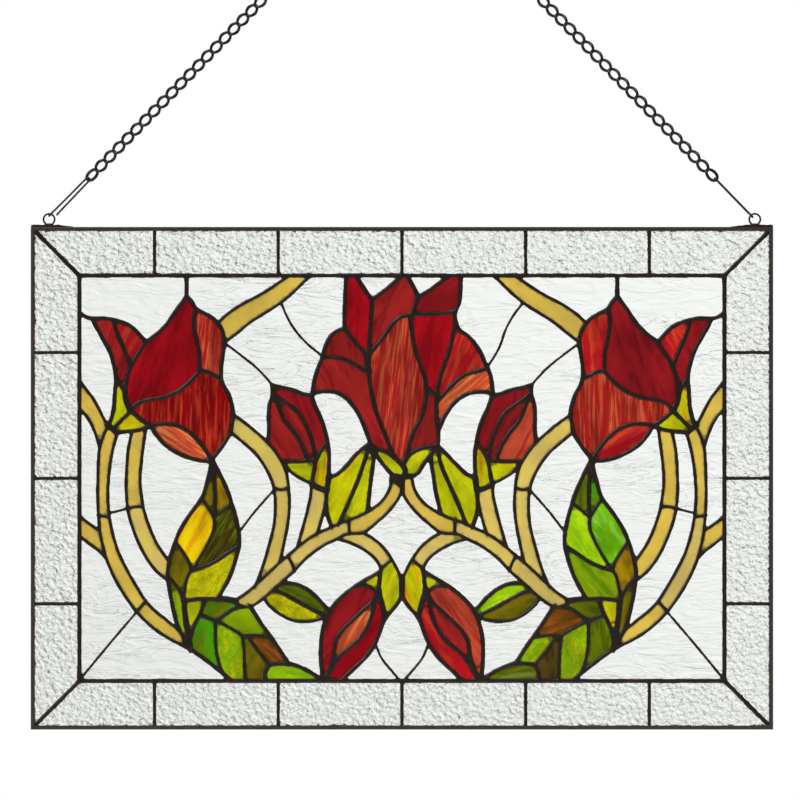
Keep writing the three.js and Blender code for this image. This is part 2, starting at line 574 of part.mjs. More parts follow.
// A leg's chain ends round the top ring, and what is left below it is the hook's length
const linkPitch = LINK_LENGTH - 2 * LINK_WIRE + LINK_BITE;
const linkEnd = LINK_LENGTH / 2 - LINK_WIRE;
const topLinkBack = linkEnd - TOP_RING_WIRE / 2 - FIT;
for (const [side, name] of [[-1, 'left'], [1, 'right']]) {
  const leg = legOf(side);
  const count = Math.floor((leg.length - HOOK_LEAST - LINK_LENGTH / 2) / linkPitch);
  const hookAngle = side < 0 ? Math.PI / 2 : 0;
  const chain = [];
  for (let index = 0; index < count; index += 1) {
    const fromAngle = index === count - 1 ? hookAngle : -LINK_TWIST;
    const toAngle = index === 0 ? Math.PI / 2 : LINK_TWIST;
    const link = linkGeometry(fromAngle, toAngle);
    link.translate(leg.length - topLinkBack - index * linkPitch, 0, 0);
    link.applyMatrix4(leg.turn);
    link.translate(...leg.start);
    chain.push(solidOf(link));
  }
  addMetal(`chain_${name}`, geometryOf(wasm.Manifold.union(chain)));

  // The hook is a hairpin of wire: bent round the last link's end, one end curled into the corner ring
  const linkBar = leg.length - topLinkBack - (count - 1) * linkPitch - (LINK_LENGTH - LINK_WIRE) / 2;
  const spread = HOOK_SPREAD / 2;
  const ringRadius = (RING_OUTER - RING_WIRE) / 2;
  const flat = side < 0;
  const sag = flat ? ringRadius - Math.sqrt(ringRadius ** 2 - spread ** 2) : 0;
  const curl = [235, 195, 155, 115].map((degrees) => {
    const angle = THREE.MathUtils.degToRad(degrees);
    return [spread * Math.cos(angle) - sag, spread * Math.sin(angle)];
  });
  const bend = [90, 45, 0, -45, -90].map((degrees) => {
    const angle = THREE.MathUtils.degToRad(degrees);
    return [linkBar + spread * Math.cos(angle), spread * Math.sin(angle)];
  });
  const legPoints = [[spread * 2, 1], [linkBar * 0.5, 0.8]].map(([along, share]) => [along, spread * share]);
  const wire = flat ? [
    ...curl.map(([along, deep]) => new THREE.Vector3(along, spread, deep)),
    new THREE.Vector3(spread * 1.2, spread, spread * 0.6),
    new THREE.Vector3(linkBar * 0.5, spread * 0.85, 0),
    ...bend.map(([along, across]) => new THREE.Vector3(along, across, 0)),
    new THREE.Vector3(linkBar * 0.5, -spread * 0.85, 0),
    new THREE.Vector3(spread, -spread, 0),
  ] : [
    ...curl.map(([along, deep]) => new THREE.Vector3(along, 0, deep)),
    ...legPoints.map(([along, deep]) => new THREE.Vector3(along, 0, deep)),
    ...bend.map(([along, deep]) => new THREE.Vector3(along, 0, deep)),
    new THREE.Vector3(linkBar * 0.5, 0, -spread * 0.85),
    new THREE.Vector3(spread, 0, -spread),
  ];
  addMetal(`chain_hook_${name}`, sweptWire(wire, HOOK_WIRE, leg));
}

export default window;
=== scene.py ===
"""Dresses the hanging stained glass window: each tile of glass, the solder, the frame and the chain."""

import logging
import math
from collections.abc import Callable
from dataclasses import dataclass
from enum import Enum

import bpy
import numpy as np
from mathutils import Matrix, Vector, geometry


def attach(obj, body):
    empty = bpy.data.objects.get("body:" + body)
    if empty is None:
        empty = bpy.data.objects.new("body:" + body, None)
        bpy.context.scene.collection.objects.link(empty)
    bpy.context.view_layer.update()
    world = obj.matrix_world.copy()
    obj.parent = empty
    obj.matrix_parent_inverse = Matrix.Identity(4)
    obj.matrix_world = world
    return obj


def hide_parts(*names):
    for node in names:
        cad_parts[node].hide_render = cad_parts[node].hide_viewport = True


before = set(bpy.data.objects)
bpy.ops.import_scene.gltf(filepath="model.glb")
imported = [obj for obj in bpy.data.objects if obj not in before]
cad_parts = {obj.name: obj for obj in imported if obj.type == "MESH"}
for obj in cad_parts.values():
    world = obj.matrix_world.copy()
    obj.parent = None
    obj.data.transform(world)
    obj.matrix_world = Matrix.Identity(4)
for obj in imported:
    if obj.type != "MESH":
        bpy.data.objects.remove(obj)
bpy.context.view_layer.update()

log = logging.getLogger("window")
MM = 0.001
Point = tuple[float, float]
Line = list[Point]


@dataclass(frozen=True)
class Panel:
    """Sizes of the panel in millimetres, as the solids have them, and the drawing's place in it."""

    width: float = 610.0
    height: float = 413.0
    drop: float = 311.0
    depth: float = 7.0
    face: float = 3.7
    wall: float = 1.2
    fit: float = 0.3
    border: float = 36.2
    glass: float = 3.0
    inner_seam: float = 3.4
    divider_seam: float = 2.7
    mitre_seam: float = 3.4
    tiles_across: int = 6
    tiles_high: int = 4
    cartoon_left: float = 78.6
    cartoon_right: float = 725.0
    cartoon_top: float = 275.4
    cartoon_foot: float = 680.4

    @property
    def top(self) -> float:
        """Height of the panel's top edge."""
        return -self.drop

    @property
    def foot(self) -> float:
        """Height of the panel's lower edge."""
        return -self.drop - self.height

    @property
    def half_picture(self) -> float:
        """Half the width of the picture, to the middle of its border seam."""
        return self.width / 2 - self.face - self.border

    @property
    def picture_foot(self) -> float:
        """Height of the picture's lower seam."""
        return self.foot + self.face + self.border

    @property
    def picture_top(self) -> float:
        """Height of the picture's upper seam."""
        return self.top - self.face - self.border

    @property
    def corners(self) -> Line:
        """The picture's four corners, counter-clockwise from the lower left."""
        half, foot, top = self.half_picture, self.picture_foot, self.picture_top
        return [(-half, foot), (half, foot), (half, top), (-half, top)]

    @property
    def columns(self) -> list[float]:
        """Where the border's dividers stand along the top and bottom."""
        return [self.width * (index / self.tiles_across - 0.5) for index in range(1, self.tiles_across)]

    @property
    def rows(self) -> list[float]:
        """Heights of the border's dividers along the sides."""
        return [self.foot + self.height * index / self.tiles_high for index in range(1, self.tiles_high)]

    @property
    def axis(self) -> float:
        """The drawing's middle, in the drawing's own units."""
        return (self.cartoon_left + self.cartoon_right) / 2

    def place(self, mark: Point) -> Point:
        """Turn a mark of the drawing into millimetres.

        Args:
            mark: The mark, across and down in the drawing's own units.

        Returns:
            The same point in millimetres across and up.
        """
        across = (mark[0] - self.axis) * 2 * self.half_picture / (self.cartoon_right - self.cartoon_left)
        rise = (self.picture_top - self.picture_foot) / (self.cartoon_foot - self.cartoon_top)
        return across, self.picture_foot + (self.cartoon_foot - mark[1]) * rise

    def mark(self, place: Point) -> Point:
        """Turn a point of the panel back into a mark of the drawing.

        Args:
            place: The point, in millimetres across and up.

        Returns:
            The same point, across and down in the drawing's own units.
        """
        across = place[0] * (self.cartoon_right - self.cartoon_left) / (2 * self.half_picture)
        rise = (self.picture_top - self.picture_foot) / (self.cartoon_foot - self.cartoon_top)
        return self.axis + across, self.cartoon_foot - (place[1] - self.picture_foot) / rise

    def lapped(self, lap: float) -> tuple[float, float, float]:
        """A rectangle set in from the panel's edge by a lap: half its width, its foot and its top."""
        return self.width / 2 - lap, self.foot + lap, self.top - lap

    def mirror(self, mark: Point) -> Point:
        """The same mark on the drawing's other side."""
        return 2 * self.axis - mark[0], mark[1]


PANEL = Panel()
STEM, PETAL, THIN, HEAVY = 2.8, 3.5, 2.3, 4.6  # widths of the seams, in millimetres


@dataclass(frozen=True)
class Seam:
    """One solder seam of the drawing: its width in millimetres and the marks that it runs through."""

    width: float
    marks: tuple[Point, ...]

    def mirrored(self) -> "Seam":
        """The same seam on the other side."""
        return Seam(self.width, tuple(PANEL.mirror(mark) for mark in self.marks))

    def line(self, step: float = 1.5) -> Line:
        """Sample the seam as a smooth line.

        Args:
            step: Longest distance between two points, in millimetres.

        Returns:
            The points of the line, in millimetres.
        """
        at = [Vector(PANEL.place(mark)) for mark in self.marks]
        if len(at) == 2:
            count = max(2, int((at[1] - at[0]).length / step) + 1)
            return [tuple(at[0].lerp(at[1], index / (count - 1))) for index in range(count)]
        at = [at[0] * 2 - at[1]] + at + [at[-1] * 2 - at[-2]]
        points = []
        for before, start, end, after in zip(at, at[1:], at[2:], at[3:]):
            count = max(1, round((end - start).length / step))
            for index in range(count):
                t = index / count
                points.append(tuple(0.5 * (2 * start + (end - before) * t
                                           + (2 * before - 5 * start + 4 * end - after) * t * t
                                           + (3 * start - before - 3 * end + after) * t ** 3)))
        return points + [tuple(at[-2])]


def strokes(*rows: tuple[float, ...]) -> tuple[Seam, ...]:
    """Turn rows of numbers into seams: a row has the seam's width, then x and y of each mark."""
    return tuple(Seam(row[0], tuple(zip(row[1::2], row[2::2]))) for row in rows)


SIDE_TULIP = strokes(
    (PETAL, 186, 275, 186, 297),
    (PETAL, 186, 296, 176, 309.5, 166.5, 323.5, 156, 334, 145.3, 341.9),
    (PETAL, 186, 296, 191, 301.5, 196, 309, 204, 313.3, 213, 318.8, 220, 327, 223.6, 337, 224, 345),
    (PETAL, 224, 344, 222.5, 354, 220.8, 366, 220.5, 376, 223, 385, 228, 394, 231.5, 405, 233, 414),
    (PETAL, 233, 413, 231.5, 423, 230, 432, 226, 439.5, 219.5, 449, 211, 459.5),
    (PETAL, 195, 308.5, 193.2, 321, 195.2, 337, 198.5, 352, 199, 370.5),
    (PETAL, 199.2, 370.5, 190, 381, 178, 390.7, 163, 397, 146, 400, 136, 404, 130.3, 410),
    (PETAL, 199, 370.5, 206, 371.5, 213, 375, 221, 378.5),
    (PETAL, 78.6, 312.5, 85, 316.6, 92, 318.4, 104, 318.2, 118, 321, 130, 326.2, 138, 333.5, 145.3, 341.9),
    (PETAL, 91.5, 318.3, 95, 326, 102, 338.5, 109, 351.5, 113, 365, 115.2, 378, 114, 393, 113.3, 405,
     111.5, 415, 108, 425),
    (PETAL, 112.5, 320, 117, 334, 122.5, 347, 130, 364.5),
    (PETAL, 145.3, 341.9, 136, 356, 129.5, 368, 126, 379, 125, 387),
    (HEAVY, 124.8, 386, 124.3, 394, 126, 402, 130, 411),
    (PETAL, 115.2, 377, 119.5, 384, 124, 392),
    (PETAL, 130, 411, 121, 419.5, 112.5, 428.5),
    (PETAL, 130, 410.5, 139.5, 418.8, 149.5, 425.5),
    (PETAL, 149.5, 425.3, 160, 423.8, 172, 424.3, 184, 428.6, 195, 437.5, 204, 448.5, 210.5, 458.5),
    (PETAL, 150, 425.5, 156, 435, 165, 445, 176, 452.3, 190, 458, 204, 460.8, 210.5, 460),
    (PETAL, 116, 432.4, 124, 431.5, 137, 430, 150, 426),
    (HEAVY, 107.5, 425, 112.5, 429.5, 117, 433.5),
)
OVER_TULIP = strokes(
    (STEM, 217.5, 322.5, 228, 313, 241.4, 304.1, 256, 296.5, 270, 288.2, 286.5, 277),
    (STEM, 225.5, 341, 236, 333.2, 248.6, 322.9, 262, 314.3, 277.3, 304.6, 290, 294.6, 308.5, 277),
    (THIN, 224.3, 343, 240, 354.7, 256, 367.5, 266.5, 378.5, 272, 385),
)
SIDE_BUD = strokes(
    (PETAL, 272, 385, 281, 387.2, 293, 390, 303, 393.8, 312.5, 395.5),
    (PETAL, 272, 385, 272, 395, 269, 405, 268.2, 416, 268.6, 428, 267.5, 441),
    (PETAL, 311, 394.5, 315.5, 407, 321, 419, 325.5, 433, 328.3, 449, 328.8, 462, 328.3, 475.5),
    (PETAL, 272.5, 391, 277, 403, 284, 420, 295, 434, 303, 448, 308, 461.5),
    (PETAL, 273.5, 394.5, 285.8, 402.9, 298, 412.5, 306.5, 426.5, 312, 441.5, 315.5, 458),
    (PETAL, 281.5, 460.8, 298, 461.3, 315.5, 460),
    (PETAL, 327.5, 441, 321, 450, 315.5, 460),
    (PETAL, 315.5, 459.5, 313.8, 470, 311.5, 484),
    (STEM, 284, 463, 290.8, 471.7, 300, 478, 311.5, 483.5),
    (HEAVY, 310.5, 483, 318, 487.5, 326.8, 490.5),
    (HEAVY, 328.4, 474.5, 327.7, 483, 326.5, 490.5),
)
BUD_STEM = strokes(
    (STEM, 231.5, 413.5, 243, 421.5, 256, 432, 267.5, 442.5, 276, 453, 283, 464.5, 286.7, 476, 288.5, 490,
     289, 507, 287.5, 523, 284.5, 539, 280.5, 557.5),
    (STEM, 229.5, 431.5, 243, 442.5, 256, 454.5, 266.5, 470, 273, 486, 274.8, 503, 273.6, 524, 268, 547,
     261, 570, 254, 587),
    (STEM, 272.8, 487, 280.5, 489.5, 288.5, 487),
    (THIN, 238.3, 532, 255, 510.5, 274.5, 488.5),
    (STEM, 310.5, 482.5, 310.6, 493, 308.5, 504, 304.5, 520, 297, 546.5),
    (STEM, 326.3, 490, 325, 503, 321, 520, 316.3, 534.5),
    (PETAL, 326.8, 489, 325.9, 502, 327, 514, 331.5, 527.5),
)
LOW_BRANCH = strokes(
    (STEM, 391.5, 480, 388.5, 490.5, 380.6, 501.9, 368, 511, 355, 517.3, 342, 522, 329, 527.8, 316.5, 533.3,
     306, 540, 296.5, 547.5, 289, 554, 280, 561.5, 268, 572.5, 254, 585.5, 246, 592.5, 237, 598.5),
    (STEM, 401.8, 489, 398, 498.5, 388, 511.5, 376, 522.5, 364.5, 531.5, 357, 533, 348, 533.3),
    (STEM, 349, 533.2, 343, 535, 336, 539, 325, 544, 313, 552, 303, 560.5, 294, 570.3, 283, 580, 272, 590,
     262, 598.7, 252.5, 605, 244, 606.5, 235, 602.5),
    (STEM, 348.5, 518.5, 349, 534),
    (STEM, 287, 554.5, 291.5, 563, 294.8, 571),
    (STEM, 362, 532, 373, 538.3, 383, 547, 391, 558, 397, 569, 401.8, 580),
    (STEM, 336.5, 538.5, 350, 542.5, 364, 549.5, 375, 558.5, 381, 568),
    (STEM, 381, 568, 392, 559),
)
LOWER_BUD = strokes(
    (PETAL, 381, 567.5, 379.8, 576, 378.5, 588.5),
    (HEAVY, 378.5, 587.5, 379, 594, 381.5, 602, 385, 616),
    (PETAL, 381, 570.5, 368, 578, 356.5, 585, 346, 592.5, 336.5, 601.5, 329.5, 610.5, 324.5, 622,
     321.3, 636, 320.3, 650, 320.8, 663, 322.5, 680),
    (PETAL, 355, 586, 365, 585.3, 372.5, 588.5, 378, 594),
    (PETAL, 401.8, 595, 398, 602, 393, 608.5, 387.5, 614.5, 384, 619.5),
    (PETAL, 384.8, 614, 382.8, 622, 379.5, 632, 375.5, 642, 370.5, 650.5, 363, 659.5, 354, 668, 341, 680),
    (PETAL, 375.5, 595, 371.9, 601.5, 362.9, 609.9, 352.6, 619.5, 342.4, 629.7, 336, 640, 334.1, 650.3,
     332.1, 660.5, 326.5, 676),
    (PETAL, 375, 597, 373.2, 609, 370.6, 618.2, 365.5, 629.7, 357.8, 640, 347.5, 649, 338.5, 656.7,
     333.4, 665.6, 326, 678),
    (THIN, 375.5, 644, 380.8, 656.7, 388.5, 666.9, 401.8, 682),
)
LEAF_SPRAY = strokes(
    (PETAL, 211, 459, 209.5, 470, 206, 483.5, 203, 494, 198.5, 502, 192, 510.5, 185, 520.5, 179, 531,
     174.5, 542, 170.8, 553, 168, 564, 167.2, 575, 168, 584, 169.5, 593, 171.5, 604, 174.3, 616, 178, 627.5,
     184.5, 640),
    (PETAL, 211.5, 459, 217, 469, 223.5, 482.5, 228, 493, 231.5, 504, 234.5, 514, 237, 525, 238.8, 536,
     238.5, 546, 236, 556, 232.8, 567, 228.5, 578, 222.5, 589, 217, 598.5),
    (PETAL, 212.5, 463, 213.8, 480, 214.4, 496, 214, 516),
    (STEM, 201.5, 499, 207.3, 507, 213.5, 517),
    (STEM, 230.8, 503, 221.7, 510.3, 213.5, 517),
    (STEM, 213.5, 516.5, 213.8, 526, 210.2, 537, 203.7, 550, 197, 561, 190.5, 570.5),
    (STEM, 175, 541.5, 183, 552.5, 189, 563, 190.5, 570.5),
    (PETAL, 190.5, 570.5, 203, 566.5, 215, 561, 226, 553.5, 238, 546),
    (STEM, 190.5, 570, 187, 576, 184.5, 586, 183.3, 597, 184, 602),
    (STEM, 167.8, 577, 173.4, 582.5, 179.4, 591.5, 183, 602),
    (HEAVY, 183.5, 600, 184.3, 612, 186, 625, 188.5, 638, 190, 650),
    (PETAL, 183.5, 600.8, 193.6, 599, 203.1, 598.3, 211.4, 598.6, 219, 599.5),
    (PETAL, 204, 600.5, 200, 612, 193, 626.5, 190, 636),
    (HEAVY, 217, 598, 226, 599, 236, 600.5),
    (PETAL, 200.3, 614.5, 208, 617.8, 215, 619.4, 223.2, 615, 231.9, 609, 241, 606.5),
    (STEM, 214.6, 619.5, 215, 631, 215, 642, 216.1, 652.6, 218.5, 663, 222, 672),
    (STEM, 215, 620, 221, 623.2, 229.7, 627.8, 238.5, 633, 242, 636),
    (STEM, 241.5, 635.5, 252, 634.8, 260, 635.5, 269.5, 637),
    (STEM, 242, 635.5, 243.4, 648, 244, 663.5, 244.5, 680),
    (STEM, 247, 636, 255.9, 648.5, 262.4, 656.5, 269, 664.5),
    (PETAL, 264.8, 680, 265, 672, 268, 666, 272, 663.8, 280, 663.3, 288.5, 663.5),
    (PETAL, 286.5, 662.5, 296.2, 665.2, 304.9, 669, 312.6, 673.3, 321, 679),
    (PETAL, 248.5, 604.5, 251.5, 608.5, 260, 622, 270, 636, 279, 649, 288, 663),
    (PETAL, 184, 640.5, 192, 650, 201, 656.5, 211, 664, 221, 672, 231, 680.5),
)
SMALL_LEAF = strokes(
    (PETAL, 275.5, 587, 281, 583.5, 290, 583, 299, 585, 308, 589.8, 316, 596.5, 322, 603, 330, 611.5),
    (PETAL, 271, 590.5, 280, 592, 290.8, 597.6, 301.7, 603.6, 312.6, 609.5, 327, 616),
    (STEM, 264, 597.5, 267, 603, 273, 609, 281, 614.7, 290.8, 619.4, 300.6, 621, 312.6, 620.5, 326, 617),
)
SIDE_STEMS = strokes(
    (STEM, 78.6, 380, 85.9, 389.9, 91.3, 396.8, 96.8, 406.2, 101.5, 415.5, 107, 426),
    (STEM, 78.6, 408.5, 84.8, 414.9, 89.5, 422, 93.5, 430.5, 98.8, 446),
    (STEM, 107.5, 425.5, 103, 434.5, 99.3, 445),
    (STEM, 99, 444, 97.8, 458, 97.2, 475, 96.8, 492, 97.3, 508, 98.3, 522, 99, 531, 101, 541, 104.5, 555,
     108.5, 566, 114.1, 578.3, 122, 592, 129.6, 603.2, 136.5, 612, 146.2, 622, 158, 631.6, 170, 639,
     185, 646.5),
    (STEM, 117, 432.5, 114.5, 440, 111.5, 452, 109, 467, 107.5, 483, 107.2, 498, 108, 512, 110.5, 527,
     114, 541, 119, 555, 126.5, 570, 136, 586.5, 145, 600.5, 155, 611, 166, 619.8, 179, 631, 184.5, 642),
    (STEM, 96.5, 514.8, 108.8, 516.8),
    (STEM, 144, 602, 135.8, 611.3),
    (STEM, 131.5, 430.5, 128, 446, 126.3, 462, 125.5, 478, 125.6, 494, 127, 508.5, 130.3, 522.5, 135.5, 537,
     142, 551, 149, 562.5, 157.5, 572.5, 168, 580.5),
    (STEM, 145, 428.5, 143.2, 441.5, 141.2, 456.9, 139.7, 472, 139.5, 484, 141, 497, 143, 509, 147, 522,
     152.5, 536, 159, 548, 169, 562),
    (STEM, 126.8, 508.5, 134, 506.5, 142.8, 506.5),
    (THIN, 108, 512.8, 118, 510.5, 127, 508),
    (STEM, 78.6, 515.5, 87.3, 522.6, 99, 530.5),
    (STEM, 78.6, 535.5, 89.2, 543.9, 98.7, 551, 105.5, 558.5),
    (THIN, 80, 678, 98.7, 655.4, 110.6, 641.1, 124.8, 624.5, 136, 611.5),
)
ONE_SIDE = (SIDE_TULIP + OVER_TULIP + SIDE_BUD + BUD_STEM + LOW_BRANCH + LOWER_BUD + LEAF_SPRAY + SMALL_LEAF
            + SIDE_STEMS)
CENTRE_LEAVES = strokes(
    (PETAL, 328.3, 477, 337, 473.8, 347, 464.5, 357, 453, 370, 442.5),
    (PETAL, 369.5, 444, 364.5, 460, 358, 479, 348, 503, 338, 524.5),
    (PETAL, 371, 444, 373.2, 459, 371.5, 474, 369.7, 489, 367.3, 510.5),
    (PETAL, 475.3, 477, 466.6, 473.8, 456.6, 464.5, 447, 454.5, 437.8, 445.8),
    (PETAL, 437.3, 446, 440.6, 463, 448, 481, 457.5, 502, 466.5, 524.5),
    (PETAL, 434.5, 448, 431, 458, 433.5, 477, 436, 493, 440.5, 512),
    (PETAL, 373.8, 451, 379.5, 459.5, 386, 468, 393, 475.3),
    (PETAL, 437, 445.5, 431, 453.5, 424, 463, 418.5, 472, 412.5, 475.5),
    (HEAVY, 392.5, 475.3, 400, 477, 407, 476.3, 413, 475.5),
    (HEAVY, 402.5, 464.5, 405, 470, 404, 477),
    (PETAL, 402.8, 476, 402.3, 489.5),
    (HEAVY, 391, 479, 396, 481, 402.8, 487),
    (HEAVY, 401.8, 576, 401.8, 596),
    (THIN, 281, 303, 285.4, 314, 293, 327.5, 305.1, 341.8, 322.5, 356.5),
    (THIN, 522, 304, 513, 316, 505.5, 330, 499, 348, 487.5, 367),
)
CENTRE_TULIP = strokes(
    (PETAL, 346, 275, 345, 290, 344.6, 305, 344, 318, 344.5, 329),
    (PETAL, 355.5, 275, 363.1, 287.1, 371.8, 299.5),
    (PETAL, 371.8, 299.5, 385.4, 289.5, 401, 276.5),
    (PETAL, 407.5, 276, 414.3, 288.4, 418.5, 297),
    (PETAL, 418.5, 297, 431.4, 288.6, 447, 277),
    (PETAL, 461, 275, 460.5, 290, 459.3, 302, 455.3, 312, 455, 318, 456.5, 325),
    (PETAL, 455.5, 323, 460, 330.3, 467.5, 335.5, 475, 343.5, 482, 355, 487, 367.5),
    (PETAL, 487.5, 366.5, 491, 377, 493, 392.5, 493.2, 397),
    (PETAL, 493, 392.5, 479, 391.8, 467, 394, 455.5, 401.5, 445.5, 415, 438.3, 430),
    (PETAL, 438.3, 428, 438.6, 437, 437.2, 446),
    (PETAL, 437.5, 445.8, 428.8, 446.7, 418.3, 449.4, 409, 455, 402.5, 465),
    (PETAL, 344.5, 328, 335, 331.8, 329, 338, 325, 346.5, 321.8, 357.5, 317, 370, 313.5, 382, 312, 393.5),
    (PETAL, 312.5, 393, 324, 391, 336.5, 392.5, 347.5, 399.5, 356.5, 411, 363, 424, 367.3, 435, 371, 444.5),
    (PETAL, 370.5, 444, 377.5, 449, 386, 451.7, 394, 457.3, 402.5, 465),
    (PETAL, 371.8, 299, 371, 316, 369.8, 333, 368.5, 352),
    (PETAL, 418.5, 296, 414.8, 306, 411.5, 315.5),
    (PETAL, 411.5, 313.8, 431.4, 314, 455.5, 311.7),
    (PETAL, 368.5, 355, 375.5, 346.5, 384.1, 335.7, 393.3, 322.8, 402, 316.5, 411, 315),
    (PETAL, 369, 353, 369, 368.6, 370, 384.3, 372.8, 398.8, 378, 417.2, 384.6, 432.9, 390, 447.4,
     395.5, 458, 402, 465),
    (PETAL, 410, 315, 411.7, 331.8, 415, 348.8, 420.2, 364.6, 425, 377.8, 426.5, 390),
    (PETAL, 426.5, 387, 425.5, 401.4, 421.8, 415.9, 414.3, 430.3, 409.5, 443.5, 406.2, 456, 402, 465),
    (PETAL, 455.3, 322, 450.5, 346.2, 443.2, 367.2, 438, 385.6, 436.5, 398),
    (PETAL, 426, 386, 432, 391.5, 438, 396),
    (PETAL, 487.5, 367.8, 478, 371, 470, 373, 460.3, 377.8, 448.5, 388.8, 438, 400.5),
    (PETAL, 436.7, 396, 436.5, 409, 437, 421, 438.5, 430),
    (PETAL, 344.5, 328, 352.6, 338.7, 360.4, 348.3, 368.5, 356),
    (PETAL, 321.5, 357.4, 332.9, 357.2, 344.7, 359.4, 355.2, 364.8, 369.3, 372.5),
    (PETAL, 366, 353, 366.5, 372),
)
SEAMS = ONE_SIDE + tuple(item.mirrored() for item in ONE_SIDE) + CENTRE_LEAVES + CENTRE_TULIP


def colour(red: int, green: int, blue: int) -> tuple[float, float, float, float]:
    """Turn a colour as it is seen, from 0 to 255, into the linear one that a shader takes."""
    return tuple((level / 255) ** 2.2 for level in (red, green, blue)) + (1.0,)


class Sheet(Enum):
    """The glass sheets: body and streak colour, streak strength, grain length and width in mm, crackle."""

    RUBY = (colour(156, 12, 26), colour(112, 8, 20), 0.75, 45, 9, 0.0)
    DEEP_RUBY = (colour(138, 26, 32), colour(100, 14, 22), 0.8, 45, 9, 0.0)
    SCARLET = (colour(168, 22, 32), colour(196, 74, 38), 0.7, 30, 5, 0.0)
    BRICK = (colour(146, 36, 34), colour(112, 18, 24), 0.8, 38, 6, 0.0)
    RUBY_FIRE = (colour(128, 6, 14), colour(182, 58, 36), 0.9, 34, 2.6, 0.0)
    BRICK_FIRE = (colour(148, 30, 28), colour(188, 84, 54), 1.0, 38, 2.4, 0.0)
    ORANGE = (colour(184, 70, 42), colour(214, 130, 76), 0.9, 34, 2.6, 0.0)
    SALMON = (colour(184, 74, 48), colour(150, 34, 32), 0.8, 30, 4, 0.0)
    LIME = (colour(178, 186, 3), colour(198, 190, 16), 0.8, 26, 4, 0.3)
    LIME_FIRE = (colour(186, 188, 4), colour(214, 124, 8), 0.9, 30, 3, 0.2)
    GOLD_LIME = (colour(186, 188, 2), colour(194, 156, 6), 0.8, 26, 5, 0.3)
    AMBER = (colour(238, 196, 2), colour(208, 150, 3), 0.8, 34, 6, 0.0)
    UMBER = (colour(160, 126, 5), colour(116, 84, 6), 0.9, 26, 6, 0.4)
    BROWN = (colour(76, 62, 24), colour(50, 38, 12), 0.9, 26, 7, 0.0)
    RUST = (colour(92, 60, 18), colour(150, 76, 24), 0.9, 24, 4, 0.0)
    SHADOW = (colour(62, 50, 12), colour(96, 116, 16), 0.7, 30, 3.5, 0.0)
    OLIVE = (colour(114, 102, 5), colour(80, 84, 5), 0.9, 28, 6, 0.2)
    MOSS = (colour(98, 110, 3), colour(64, 80, 3), 0.9, 26, 5, 0.2)
    FOREST = (colour(66, 140, 8), colour(112, 98, 8), 0.9, 28, 7, 0.0)
    GRASS = (colour(130, 158, 3), colour(92, 136, 3), 0.9, 30, 5, 0.1)
    BRIGHT = (colour(140, 190, 5), colour(172, 208, 24), 0.8, 30, 3.5, 0.3)
    SWIRL = (colour(106, 176, 4), colour(142, 208, 66), 0.8, 22, 6, 0.0)
    CRACKLE = (colour(192, 188, 2), colour(164, 164, 3), 0.8, 16, 5, 1.0)
    SPRING = (colour(128, 168, 4), colour(172, 176, 8), 0.9, 18, 5, 0.8)
    CREAM_GOLD = (colour(217, 186, 70), colour(202, 170, 78), 0.8, 30, 16, 0.0)
    CREAM = (colour(214, 190, 88), colour(202, 176, 98), 0.8, 34, 18, 0.0)


@dataclass(frozen=True)
class Cut:
    """One tile to be cut: a mark inside it, its sheet and the way that the streaks run, in degrees."""

    mark: Point
    sheet: Sheet
    angle: float = 90.0


def pair(x: float, y: float, angle: float, left: Sheet, right: Sheet | None = None) -> tuple[Cut, Cut]:
    """A tile and its mirror image.

    Args:
        x: Mark across, on the left side.
        y: Mark down.
        angle: Direction of the left tile's streaks.
        left: Sheet of the left tile.
        right: Sheet of the right tile, or None for the same.

    Returns:
        The left and the right cut.
    """
    return Cut((x, y), left, angle), Cut(PANEL.mirror((x, y)), right or left, 180 - angle)


